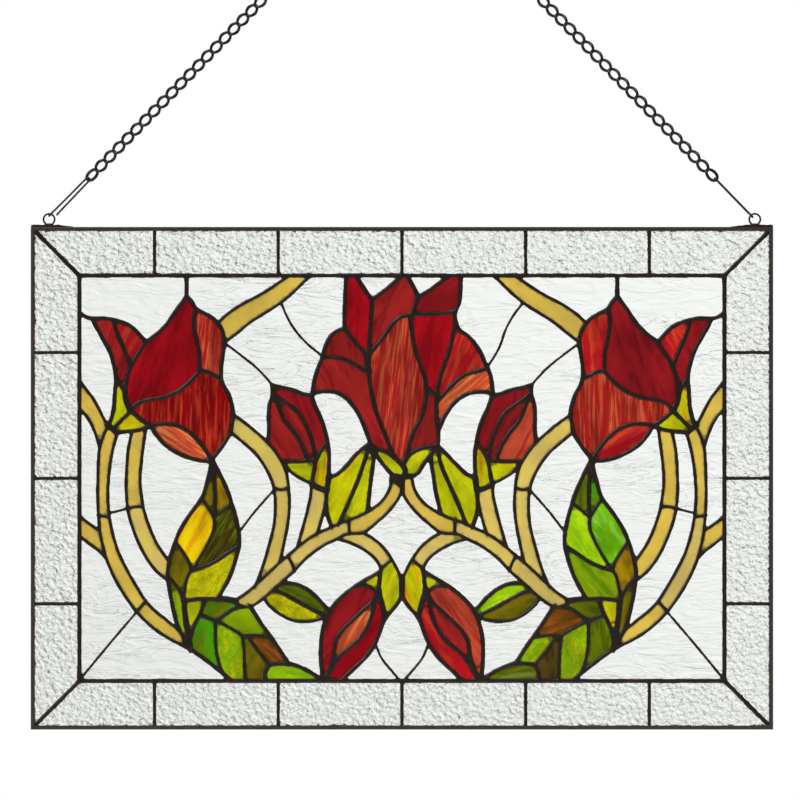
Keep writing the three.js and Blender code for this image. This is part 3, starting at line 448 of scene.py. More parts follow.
PAIRED_CUTS: dict[str, tuple[tuple[Cut, Cut], ...]] = {
    "tulip": (
        pair(107, 340, 70, Sheet.BRICK, Sheet.DEEP_RUBY),
        pair(127, 337, 60, Sheet.SCARLET, Sheet.SCARLET),
        pair(165, 360, 75, Sheet.RUBY, Sheet.DEEP_RUBY),
        pair(210, 345, 84, Sheet.BRICK_FIRE, Sheet.SCARLET),
        pair(190, 410, 88, Sheet.RUBY_FIRE, Sheet.BRICK_FIRE),
        pair(175, 438, -32, Sheet.ORANGE, Sheet.SCARLET),
    ),
    "tulip_sepals": (
        pair(118, 405, 80, Sheet.LIME, Sheet.LIME_FIRE),
        pair(130, 424, 20, Sheet.GOLD_LIME, Sheet.LIME),
    ),
    "side_bud": (
        pair(280, 435, -60, Sheet.BRICK, Sheet.SALMON),
        pair(295, 420, -60, Sheet.BRICK, Sheet.BRICK),
        pair(310, 425, -70, Sheet.DEEP_RUBY, Sheet.DEEP_RUBY),
    ),
    "centre_leaf": (
        pair(303, 469, 0, Sheet.LIME, Sheet.GOLD_LIME),
        pair(320, 470, 84, Sheet.LIME_FIRE),
        pair(340, 490, 60, Sheet.GOLD_LIME, Sheet.LIME),
        pair(358, 490, 66, Sheet.LIME),
    ),
    "lower_bud": (
        pair(342, 613, 55, Sheet.DEEP_RUBY, Sheet.SALMON),
        pair(353, 628, 60, Sheet.ORANGE, Sheet.BRICK),
        pair(365, 640, 55, Sheet.RUBY, Sheet.SCARLET),
    ),
    "branch_stem": (pair(255, 305, 35, Sheet.CREAM_GOLD),),
    "outer_stem": (
        pair(92, 408, 120, Sheet.CREAM_GOLD),
        pair(103, 480, 90, Sheet.CREAM_GOLD),
        pair(115, 560, 115, Sheet.CREAM_GOLD, Sheet.CREAM),
        pair(158, 622, 140, Sheet.CREAM_GOLD),
        pair(90, 533, 140, Sheet.CREAM_GOLD),
    ),
    "inner_stem": (
        pair(134, 470, 90, Sheet.CREAM_GOLD),
        pair(148, 540, 115, Sheet.CREAM, Sheet.CREAM_GOLD),
    ),
    "leaf_spray": (
        pair(208, 490, 80, Sheet.OLIVE, Sheet.FOREST),
        pair(221, 495, 100, Sheet.UMBER, Sheet.MOSS),
        pair(196, 530, 60, Sheet.AMBER, Sheet.SWIRL),
        pair(225, 535, 60, Sheet.SHADOW, Sheet.BRIGHT),
        pair(178, 570, 80, Sheet.OLIVE, Sheet.UMBER),
        pair(208, 580, 50, Sheet.CRACKLE, Sheet.GRASS),
        pair(193, 612, 70, Sheet.LIME, Sheet.GOLD_LIME),
        pair(175, 605, 95, Sheet.GRASS, Sheet.OLIVE),
        pair(218, 609, 20, Sheet.FOREST, Sheet.MOSS),
        pair(243, 620, -20, Sheet.GRASS, Sheet.RUST),
        pair(203, 640, 85, Sheet.FOREST, Sheet.MOSS),
        pair(230, 650, 80, Sheet.SPRING, Sheet.SPRING),
        pair(253, 665, 70, Sheet.OLIVE, Sheet.BROWN),
        pair(266, 645, -45, Sheet.RUST, Sheet.SPRING),
        pair(288, 672, -10, Sheet.BRIGHT, Sheet.MOSS),
    ),
    "small_leaf": (
        pair(300, 594, -25, Sheet.MOSS, Sheet.BRIGHT),
        pair(290, 609, -20, Sheet.CRACKLE, Sheet.OLIVE),
    ),
}
CENTRE_CUTS: dict[str, tuple[Cut, ...]] = {
    "tulip_centre": (
        Cut((357, 310), Sheet.RUBY, 80), Cut((395, 300), Sheet.BRICK, 60),
        Cut((440, 300), Sheet.DEEP_RUBY, 60), Cut((395, 390), Sheet.BRICK_FIRE, 84),
        Cut((430, 345), Sheet.RUBY, 80), Cut((340, 347), Sheet.BRICK, 100),
        Cut((350, 385), Sheet.BRICK, 120), Cut((463, 352), Sheet.SCARLET, 70),
        Cut((470, 380), Sheet.ORANGE, 42), Cut((428, 425), Sheet.BRICK, 80),
    ),
    "centre_sepals": (Cut((393, 467), Sheet.LIME, 130), Cut((413, 463), Sheet.LIME, 45)),
    "lower_bud_sepals": (
        Cut((372, 580), Sheet.GOLD_LIME, 30), Cut((391, 585), Sheet.LIME, 70),
        Cut((431.6, 580), Sheet.LIME, 150), Cut((412.6, 585), Sheet.LIME_FIRE, 110),
    ),
    "centre_stems": tuple(
        cut for both in (
            pair(262, 448, -50, Sheet.CREAM), pair(280, 510, 90, Sheet.CREAM),
            pair(314, 515, 75, Sheet.CREAM), pair(375, 515, 35, Sheet.CREAM_GOLD),
            pair(318, 539, 35, Sheet.CREAM), pair(272, 581, 40, Sheet.CREAM),
            pair(365, 543, -35, Sheet.CREAM),
        ) for cut in both
    ),
}
CLEAR_MARKS: dict[str, tuple[Point, ...]] = {
    "sky": ((130, 295), (95, 360), (225, 290)),
    "upper_background": ((245, 395), (265, 340), (320, 310)),
    "arch_background": ((345, 430),),
    "edge_background": ((86, 460),),
    "corner_background": ((100, 600), (130, 655)),
    "stem_background": ((118, 475), (125, 540)),
    "tulip_background": ((165, 490),),
    "leaf_background": ((250, 480), (250, 550)),
    "bud_background": ((298, 510),),
    "sepal_background": ((380, 480),),
    "branch_background": ((330, 565),),
    "foot_background": ((295, 640),),
}
GLASS_SLOTS = {
    "stem": "cream_glass", "sepal": "lime_glass", "centre_leaf": "lime_glass", "leaf": "green_glass",
    "tulip": "red_glass", "bud": "red_glass",
}
CENTRE_CLEAR: dict[str, tuple[Point, ...]] = {
    "centre_background": ((401.8, 535),),
    "bottom_background": ((401.8, 640), (365, 672), (438, 672)),
}


def deselect() -> None:
    """Leave edit mode and select nothing."""
    if bpy.context.object and bpy.context.object.mode != "OBJECT":
        bpy.ops.object.mode_set(mode="OBJECT")
    bpy.ops.object.select_all(action="DESELECT")


def put(name: str, data: bpy.types.ID) -> bpy.types.Object:
    """Put a new piece into the scene.

    Args:
        name: The piece's name.
        data: Its mesh, curve or camera.

    Returns:
        The piece.
    """
    piece = bpy.data.objects.new(name, data)
    bpy.context.scene.collection.objects.link(piece)
    return piece


def activate(piece: bpy.types.Object) -> bpy.types.Object:
    """Select one piece alone and make it the active one.

    Args:
        piece: The piece to select.

    Returns:
        The same piece.
    """
    deselect()
    piece.select_set(True)
    bpy.context.view_layer.objects.active = piece
    return piece


def modify(piece: bpy.types.Object, kind: str, **settings: object) -> None:
    """Add a modifier to a piece and apply it.

    Args:
        piece: The piece to change.
        kind: Type of the modifier.
        settings: Its settings, by name.
    """
    activate(piece)
    modifier = piece.modifiers.new(kind, kind)
    for name, value in settings.items():
        setattr(modifier, name, value)
    bpy.ops.object.modifier_apply(modifier=modifier.name)


def join(pieces: list[bpy.types.Object], name: str) -> bpy.types.Object:
    """Join several pieces into one.

    Args:
        pieces: The pieces to join.
        name: The new piece's name.

    Returns:
        The joined piece.
    """
    deselect()
    for piece in pieces:
        piece.select_set(True)
    bpy.context.view_layer.objects.active = pieces[0]
    if len(pieces) > 1:
        bpy.ops.object.join()
    joined = bpy.context.object
    joined.name = joined.data.name = name
    return joined


def smooth(piece: bpy.types.Object, degrees: float = 40.0) -> None:
    """Shade a piece smooth across edges up to an angle."""
    activate(piece)
    bpy.ops.object.shade_smooth_by_angle(angle=math.radians(degrees))


def settle(piece: bpy.types.Object, **changes: object) -> bpy.types.Object:
    """Move, turn and scale a piece, and apply that to its mesh.

    Args:
        piece: The piece to change.
        changes: Its new place, turn, scale or matrix, by name.

    Returns:
        The same piece.
    """
    activate(piece)
    for name, value in changes.items():
        setattr(piece, name, value)
    bpy.ops.object.transform_apply(location=True, rotation=True, scale=True)
    return piece


def edit(piece: bpy.types.Object, *steps: Callable[[], object]) -> None:
    """Carry out some steps on a mesh in edit mode, each with all of it selected.

    Args:
        piece: The piece to edit.
        steps: The steps, in order.
    """
    activate(piece)
    bpy.ops.object.mode_set(mode="EDIT")
    for step in steps:
        bpy.ops.mesh.select_all(action="SELECT")
        step()
    bpy.ops.object.mode_set(mode="OBJECT")


def face_outwards() -> None:
    """Turn the selected faces' normals outwards."""
    bpy.ops.mesh.normals_make_consistent(inside=False)


def read_points(mesh: bpy.types.Mesh) -> np.ndarray:
    """Read a mesh's points.

    Args:
        mesh: The mesh to read.

    Returns:
        One point in each row.
    """
    at = np.empty(len(mesh.vertices) * 3)
    mesh.vertices.foreach_get("co", at)
    return at.reshape(-1, 3)


def round_curve(name: str, radius: float, resolution: int) -> bpy.types.Curve:
    """Start a curve with a round, closed section.

    Args:
        name: The curve's name.
        radius: Radius of the section, in millimetres.
        resolution: How finely the section is rounded.

    Returns:
        The curve, still without a line.
    """
    curve = bpy.data.curves.new(name, "CURVE")
    curve.dimensions = "3D"
    curve.bevel_depth = radius * MM
    curve.bevel_resolution = resolution
    curve.use_fill_caps = True
    return curve


def to_mesh(piece: bpy.types.Object) -> bpy.types.Object:
    """Turn a curve's piece into a mesh.

    Args:
        piece: The piece to turn.

    Returns:
        The piece as a mesh.
    """
    activate(piece)
    bpy.ops.object.convert(target="MESH")
    return bpy.context.object


def clouds(name: str, size: float) -> bpy.types.Texture:
    """Make a cloudy relief.

    Args:
        name: The relief's name.
        size: Size of its forms, in millimetres.

    Returns:
        The relief, for a modifier to use.
    """
    texture = bpy.data.textures.new(name, "CLOUDS")
    texture.noise_scale = size * MM
    return texture


def dress(piece: bpy.types.Object, material: bpy.types.Material, slot: str, *nodes: str) -> None:
    """Give a piece its material and its place in the part.

    Args:
        piece: The finished piece.
        material: Its only material.
        slot: The record's material slot; not used.
        nodes: The solids that it stands for.
    """
    piece.data.materials.clear()
    piece.data.materials.append(material)
    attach(piece, "root")
    if nodes:
        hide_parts(*nodes)
    log.info("%s: %d faces", piece.name, len(piece.data.polygons))


class Nodes:
    """A node tree of a material or a world, built node by node."""

    def __init__(self, owner: bpy.types.Material | bpy.types.World) -> None:
        """Start on the tree of a new material or world.

        Args:
            owner: The material or world.
        """
        owner.use_nodes = True
        self.owner = owner
        self.tree = owner.node_tree
        self.shader = self.tree.nodes.get("Principled BSDF")

    def add(self, kind: str, links: dict[str, object] | None = None, **settings: object) -> bpy.types.Node:
        """Add a node.

        Args:
            kind: Type of the node, without its first part.
            links: Socket name or index to a value or to another node's output.
            settings: The node's own settings.

        Returns:
            The node.
        """
        node = self.tree.nodes.new("ShaderNode" + kind)
        for name, value in settings.items():
            setattr(node, name, value)
        for key, value in (links or {}).items():
            self.feed(node.inputs[key], value)
        return node

    def feed(self, socket: bpy.types.NodeSocket, value: object) -> None:
        """Link a socket to an output, or set its value.

        Args:
            socket: The socket to feed.
            value: The output or the value.
        """
        if isinstance(value, bpy.types.NodeSocket):
            self.tree.links.new(value, socket)
        else:
            socket.default_value = value

    def set(self, **values: object) -> None:
        """Set the shader's sockets, with _ for a space in a name."""
        for name, value in values.items():
            self.feed(self.shader.inputs[name.replace("_", " ")], value)

    def ramp(self, value: bpy.types.NodeSocket, low: float, high: float, start: float = 0.0,
             end: float = 1.0) -> bpy.types.NodeSocket:
        """Map a value's range to another, and hold it there.

        Args:
            value: The value to map.
            low: Value that gives start.
            high: Value that gives end.
            start: Result at low.
            end: Result at high.

        Returns:
            The mapped value.
        """
        node = self.add("MapRange", {0: value, 1: low, 2: high, 3: start, 4: end},
                        interpolation_type="SMOOTHSTEP")
        return node.outputs[0]

    def mix(self, share: object, first: object, second: object, blend: str = "MIX") -> bpy.types.NodeSocket:
        """Mix two colours by a share."""
        node = self.add("Mix", {0: share, 6: first, 7: second}, data_type="RGBA", blend_type=blend)
        return node.outputs[2]


@dataclass(frozen=True)
class ClearFinish:
    """Clear glass: see-through by plain values, with its texture in the surface alone."""

    name: str
    tint: tuple[float, float, float, float]
    scale: float
    stretch: tuple[float, float, float]
    relief: float
    creases: float
    fine: float
    cells: float

    def make(self) -> bpy.types.Material:
        """Build the material.

        Returns:
            The material.
        """
        nodes = Nodes(bpy.data.materials.new(self.name))
        place = nodes.add("TexCoord").outputs["Object"]
        spread = nodes.add("Mapping", {"Vector": place, "Scale": self.stretch}).outputs[0]
        broad = nodes.add("TexNoise", {"Vector": spread, "Scale": self.scale, "Detail": 3.0,
                                       "Distortion": 1.2})
        fine = nodes.add("TexNoise", {"Vector": spread, "Scale": self.scale * 4, "Detail": 3.0})
        cells = nodes.add("TexVoronoi", {"Vector": spread, "Scale": self.scale, "Smoothness": 0.6},
                          feature="SMOOTH_F1")
        away = nodes.add("Math", {0: broad.outputs[0], 1: 0.5}, operation="SUBTRACT").outputs[0]
        away = nodes.add("Math", {0: away}, operation="ABSOLUTE").outputs[0]
        patches = nodes.add("TexNoise", {"Vector": spread, "Scale": self.scale / 4, "Detail": 1.0}).outputs[0]
        patches = nodes.ramp(patches, 0.4, 0.62, 0.1, 1.0)
        crease = nodes.ramp(away, 0.0, 0.022, self.creases, 0.0)
        height = nodes.add("Math", {0: crease, 1: patches}, operation="MULTIPLY").outputs[0]
        for source, share in ((broad, 1.0), (fine, self.fine), (cells, self.cells)):
            height = nodes.add("Math", {0: source.outputs[0], 1: share, 2: height},
                               operation="MULTIPLY_ADD").outputs[0]
        bump = nodes.add("Bump", {"Height": height, "Strength": 1.0, "Distance": self.relief})
        nodes.set(Base_Color=self.tint, Roughness=0.02, IOR=1.5, Transmission_Weight=1.0,
                  Normal=bump.outputs[0])
        return nodes.owner


@dataclass(frozen=True)
class StreakFinish:
    """Coloured sheet glass: two colours streaked together along each tile's own grain, and painted shade that
    darkens each tile towards its edges.
    """

    name: str
    transmission: float
    roughness: float
    cloud: float
    gain: float
    shadow: float

    def make(self) -> bpy.types.Material:
        """Build the material.

        Returns:
            The material.
        """
        nodes = Nodes(bpy.data.materials.new(self.name))
        body = nodes.add("Attribute", attribute_name="body").outputs
        streak = nodes.add("Attribute", attribute_name="streak").outputs
        grain = nodes.add("Attribute", attribute_name="grain").outputs["Vector"]
        broad = nodes.add("TexNoise", {"Vector": grain, "Scale": 1.0, "Detail": 5.0, "Roughness": 0.62,
                                       "Distortion": 0.4}).outputs[0]
        share = nodes.ramp(broad, 0.45, 0.65)
        share = nodes.add("Math", {0: share, 1: streak["Alpha"]}, operation="MULTIPLY").outputs[0]
        base = nodes.mix(share, body["Color"], streak["Color"])
        wide = nodes.add("VectorMath", {0: grain, 1: (0.8, 0.3, 1.0)}, operation="MULTIPLY").outputs[0]
        cloud = nodes.add("TexNoise", {"Vector": wide, "Scale": 1.0, "Detail": 2.0}).outputs[0]
        shade = nodes.ramp(cloud, 0.3, 0.68, self.gain * (1.0 - self.cloud),
                           self.gain * (1.0 + self.cloud * 0.5))
        shade = nodes.add("CombineColor", {0: shade, 1: shade, 2: shade}).outputs[0]
        base = nodes.mix(1.0, base, shade, "MULTIPLY")
        # Painted shade: each tile darkens towards its outline, as if shaded by the beads beside it, partly
        # standing for flux stain along the seams too.
        rim = nodes.add("Attribute", attribute_name="rim").outputs["Fac"]
        rim = nodes.ramp(rim, 0.35, 1.0, 0.0, self.shadow)
        base = nodes.mix(rim, base, (0.012, 0.008, 0.003, 1.0))
        place = nodes.add("TexCoord").outputs["Object"]
        warp = nodes.add("TexNoise", {"Vector": place, "Scale": 160.0, "Detail": 2.0}).outputs["Color"]
        bent = nodes.add("VectorMath", {0: warp, 1: (0.012, 0.012, 0.012), 2: place},
                         operation="MULTIPLY_ADD")
        veins = nodes.add("TexVoronoi", {"Vector": bent.outputs[0], "Scale": 190.0},
                          feature="DISTANCE_TO_EDGE")
        vein = nodes.ramp(veins.outputs[0], 0.0, 0.09, 0.55, 0.0)
        vein = nodes.add("Math", {0: vein, 1: body["Alpha"]}, operation="MULTIPLY").outputs[0]
        base = nodes.mix(vein, base, (0.09, 0.1, 0.004, 1.0))
        waves = nodes.add("TexNoise", {"Vector": place, "Scale": 120.0, "Detail": 2.0}).outputs[0]
        bump = nodes.add("Bump", {"Height": waves, "Strength": 0.5, "Distance": 0.0006})
        nodes.set(Base_Color=base, Roughness=self.roughness, IOR=1.5, Transmission_Weight=self.transmission,
                  Normal=bump.outputs[0])
        return nodes.owner


@dataclass(frozen=True)
class MetalFinish:
    """Dark metal, a little uneven in colour and shine."""

    name: str
    dark: tuple[float, float, float, float]
    worn: tuple[float, float, float, float]
    metallic: float
    roughness: float
    wear: float
    lumps: float

    def make(self) -> bpy.types.Material:
        """Build the material.

        Returns:
            The material.
        """
        nodes = Nodes(bpy.data.materials.new(self.name))
        place = nodes.add("TexCoord").outputs["Object"]
        patches = nodes.add("TexNoise", {"Vector": place, "Scale": 90.0, "Detail": 5.0,
                                         "Roughness": 0.65}).outputs[0]
        share = nodes.ramp(patches, 0.5, 0.72, 0.0, self.wear)
        pits = nodes.add("TexNoise", {"Vector": place, "Scale": 700.0, "Detail": 2.0}).outputs[0]
        bump = nodes.add("Bump", {"Height": pits, "Strength": 0.6, "Distance": self.lumps})
        shine = nodes.ramp(patches, 0.3, 0.7, self.roughness + 0.08, self.roughness - 0.08)
        nodes.set(Base_Color=nodes.mix(share, self.dark, self.worn), Metallic=self.metallic, Roughness=shine,
                  Normal=bump.outputs[0])
        return nodes.owner


RIPPLED = ClearFinish("clear_rippled_glass", colour(243, 246, 242), scale=60.0, stretch=(0.4, 1.0, 1.5),
                      relief=0.0013, creases=0.11, fine=0.14, cells=0.0)
HAMMERED = ClearFinish("clear_hammered_glass", colour(245, 248, 243), scale=285.0, stretch=(0.85, 1.0, 1.0),
                       relief=0.0012, creases=0.0, fine=0.04, cells=1.3)
CATHEDRAL = StreakFinish("streaky_cathedral_glass", transmission=0.86, roughness=0.12, cloud=0.32, gain=1.25,
                         shadow=0.75)
OPAL = StreakFinish("opal_glass", transmission=0.8, roughness=0.35, cloud=0.14, gain=1.32, shadow=0.6)
PATINA = MetalFinish("patina_solder", colour(54, 47, 43), colour(98, 74, 56), metallic=0.5, roughness=0.42,
                     wear=0.45, lumps=0.0002)
CAME = MetalFinish("patina_came", colour(80, 72, 67), colour(118, 98, 82), metallic=0.5, roughness=0.46,
                   wear=0.4, lumps=0.00015)
WIRE = MetalFinish("blackened_wire", colour(60, 53, 49), colour(106, 84, 68), metallic=0.35, roughness=0.24,
                   wear=0.4, lumps=0.00005)


@dataclass
class Tile:
    """One tile of glass: its outline in millimetres, the solid that it belongs to and its sheet."""

    outline: Line
    node: str
    cut: Cut | None = None


def area(outline: Line) -> float:
    """Signed area of an outline, positive when it runs counter-clockwise."""
    return sum(a[0] * b[1] - b[0] * a[1] for a, b in zip(outline, outline[1:] + outline[:1])) / 2


def inside(outline: Line, points: np.ndarray) -> np.ndarray:
    """Say which points lie inside an outline.

    Args:
        outline: The closed outline.
        points: One point in each row.

    Returns:
        A true or false for each point.
    """
    result = np.zeros(len(points), bool)
    x, y = points[:, 0], points[:, 1]
    for (ax, ay), (bx, by) in zip(outline, outline[1:] + outline[:1]):
        if ay == by:
            continue
        crosses = (ay > y) != (by > y)
        result ^= crosses & (x < ax + (y - ay) * (bx - ax) / (by - ay))
    return result


def inset(outline: Line, distance: float) -> Line:
    """Move an outline inwards, mitred, and drop points that end too close together.

    Args:
        outline: The closed outline, counter-clockwise.
        distance: How far in it moves, in millimetres.

    Returns:
        The smaller outline.
    """
    count = len(outline)
    moved: Line = []
    for index, point in enumerate(outline):
        before, here, after = Vector(outline[index - 1]), Vector(point), Vector(outline[(index + 1) % count])
        arrive, leave = (here - before).normalized(), (after - here).normalized()
        normal = Vector((-(arrive.y + leave.y), arrive.x + leave.x))
        if normal.length < 1e-6:
            normal = Vector((-leave.y, leave.x))
        normal.normalize()
        reach = distance / max(0.5, normal.dot(Vector((-leave.y, leave.x))))
        shifted = here + normal * reach
        if not moved or (shifted - Vector(moved[-1])).length > 0.25:
            moved.append(tuple(shifted))
    return moved


def reach(line: Line, others: np.ndarray, overrun: float, limit: float) -> Line:
    """Run a line on at both ends until it meets its neighbours.

    Args:
        line: The line.
        others: All other lines' segments, as rows of two ends' x and z.
        overrun: How far it goes past the meeting point.
        limit: How far it may look for one.

    Returns:
        The longer line.
    """
    longer = list(line)
    for at, inner in ((0, 1), (-1, -2)):
        end = np.array(line[at])
        ahead = end - np.array(line[inner])
        ahead = ahead / np.linalg.norm(ahead)
        start, side = others[:, :2], others[:, 2:] - others[:, :2]
        cross = ahead[0] * side[:, 1] - ahead[1] * side[:, 0]
        cross = np.where(np.abs(cross) < 1e-9, 1e-9, cross)
        gap = start - end
        far = (gap[:, 0] * side[:, 1] - gap[:, 1] * side[:, 0]) / cross
        share = (gap[:, 0] * ahead[1] - gap[:, 1] * ahead[0]) / cross
        hits = far[(share >= 0) & (share <= 1) & (far > -overrun) & (far < limit)]
        if len(hits):
            target = end + ahead * (hits.min() + overrun)
        else:
            spot = np.clip(-np.sum(gap * side, axis=1) / np.maximum(np.sum(side * side, axis=1), 1e-9), 0, 1)
            nearest = start + side * spot[:, None]
            away = np.linalg.norm(nearest - end, axis=1)
            best = int(np.argmin(away))
            target = end + ahead * overrun
            if away[best] < limit:
                step = nearest[best] - end
                target = nearest[best] + step / max(np.linalg.norm(step), 1e-6) * overrun
        longer.insert(0 if at == 0 else len(longer), tuple(target))
    return longer


@dataclass(frozen=True)
class Cartoon:
    """The full-size drawing: it turns the seams into the outlines of the tiles."""

    overrun: float = 0.5
    limit: float = 6.5
    smallest: float = 40.0

    def lines(self) -> list[Line]:
        """Run every seam of the picture on until it meets its neighbours.

        Returns:
            The line of each seam, in the order of SEAMS.
        """
        corners = PANEL.corners
        rim = [(*a, *b) for a, b in zip(corners, corners[1:] + corners[:1])]
        drawn = [item.line() for item in SEAMS]
        rows = [np.array([(*a, *b) for a, b in zip(line, line[1:])]) for line in drawn]
        longer = []
        for index, line in enumerate(drawn):
            others = np.vstack(rows[:index] + rows[index + 1:] + [np.array(rim)])
            longer.append(reach(line, others, self.overrun, self.limit))
        return longer

    def outlines(self) -> list[Line]:
        """Split the picture along every seam.

        Returns:
            The outline of each tile, counter-clockwise.
        """
        half, foot, top = PANEL.half_picture, PANEL.picture_foot, PANEL.picture_top
        points = PANEL.corners
        edges = [(0, 1), (1, 2), (2, 3), (3, 0)]
        for line in self.lines():
            edges += [(len(points) + step, len(points) + step + 1) for step in range(len(line) - 1)]
            points += line
        corners = [Vector(point) for point in points]
        verts, lines, faces, _, sources, _ = geometry.delaunay_2d_cdt(corners, edges, [], 0, 1e-4)
        walls = {frozenset(line) for line, source in zip(lines, sources) if source}
        owner: dict[frozenset, list[int]] = {}
        for index, face in enumerate(faces):
            for a, b in zip(face, face[1:] + face[:1]):
                owner.setdefault(frozenset((a, b)), []).append(index)
        region = [-1] * len(faces)
        groups: list[list[int]] = []
        for start in range(len(faces)):
            if region[start] >= 0:
                continue
            region[start] = len(groups)
            group, waiting = [], [start]
            while waiting:
                face = waiting.pop()
                group.append(face)
                for a, b in zip(faces[face], faces[face][1:] + faces[face][:1]):
                    edge = frozenset((a, b))
                    if edge in walls:
                        continue
                    for other in owner[edge]:
                        if region[other] < 0:
                            region[other] = region[face]
                            waiting.append(other)
            groups.append(group)
        results = []
        for group in groups:
            outline = self.rim([faces[face] for face in group], verts)
            centre = np.mean(outline, axis=0)
            if abs(centre[0]) < half and foot < centre[1] < top and area(outline) > self.smallest:
                results.append(outline)
        return results

    def rim(self, faces: list[list[int]], verts: list[Vector]) -> Line:
        """Find the outer outline of some triangles that belong together.

        Args:
            faces: The triangles, each as the numbers of its corners.
            verts: All the corners.

        Returns:
            The largest closed outline round the triangles.
        """
        sides = {(a, b) for face in faces for a, b in zip(face, face[1:] + face[:1])}
        following: dict[int, list[int]] = {}
        for a, b in sides:
            if (b, a) not in sides:
                following.setdefault(a, []).append(b)
        best: Line = []
        while following:
            start = min(following)
            loop, at = [], start
            while at in following:
                loop.append(tuple(verts[at]))
                options = following[at]
                nxt = min(options)
                options.remove(nxt)
                if not options:
                    del following[at]
                at = nxt
            if len(loop) > 2 and (not best or abs(area(loop)) > abs(area(best))):
                best = loop
        return best

    def tiles(self) -> list[Tile]:
        """Match each outline with its sheet and solid.

        Returns:
            Every tile of the picture.
        """
        named: list[tuple[Point, str, Cut | None]] = []
        for node, pairs in PAIRED_CUTS.items():
            for left, right in pairs:
                named += [(left.mark, f"{node}_left", left), (right.mark, f"{node}_right", right)]
        for node, cuts in CENTRE_CUTS.items():
            named += [(cut.mark, node, cut) for cut in cuts]
        for node, marks in CLEAR_MARKS.items():
            named += [(mark, f"{node}_left", None) for mark in marks]
            named += [(PANEL.mirror(mark), f"{node}_right", None) for mark in marks]
        for node, marks in CENTRE_CLEAR.items():
            named += [(mark, node, None) for mark in marks]
        found = []
        places = np.array([PANEL.place(mark) for mark, _, _ in named])
        for outline in self.outlines():
            hits = np.flatnonzero(inside(outline, places))
            if len(hits) == 1:
                found.append(Tile(outline, named[hits[0]][1], named[hits[0]][2]))
            else:
                log.info("tile without a solid near %.0f, %.0f", *PANEL.mark(tuple(np.mean(outline, axis=0))))
                found.append(Tile(outline, "", None))
        return found


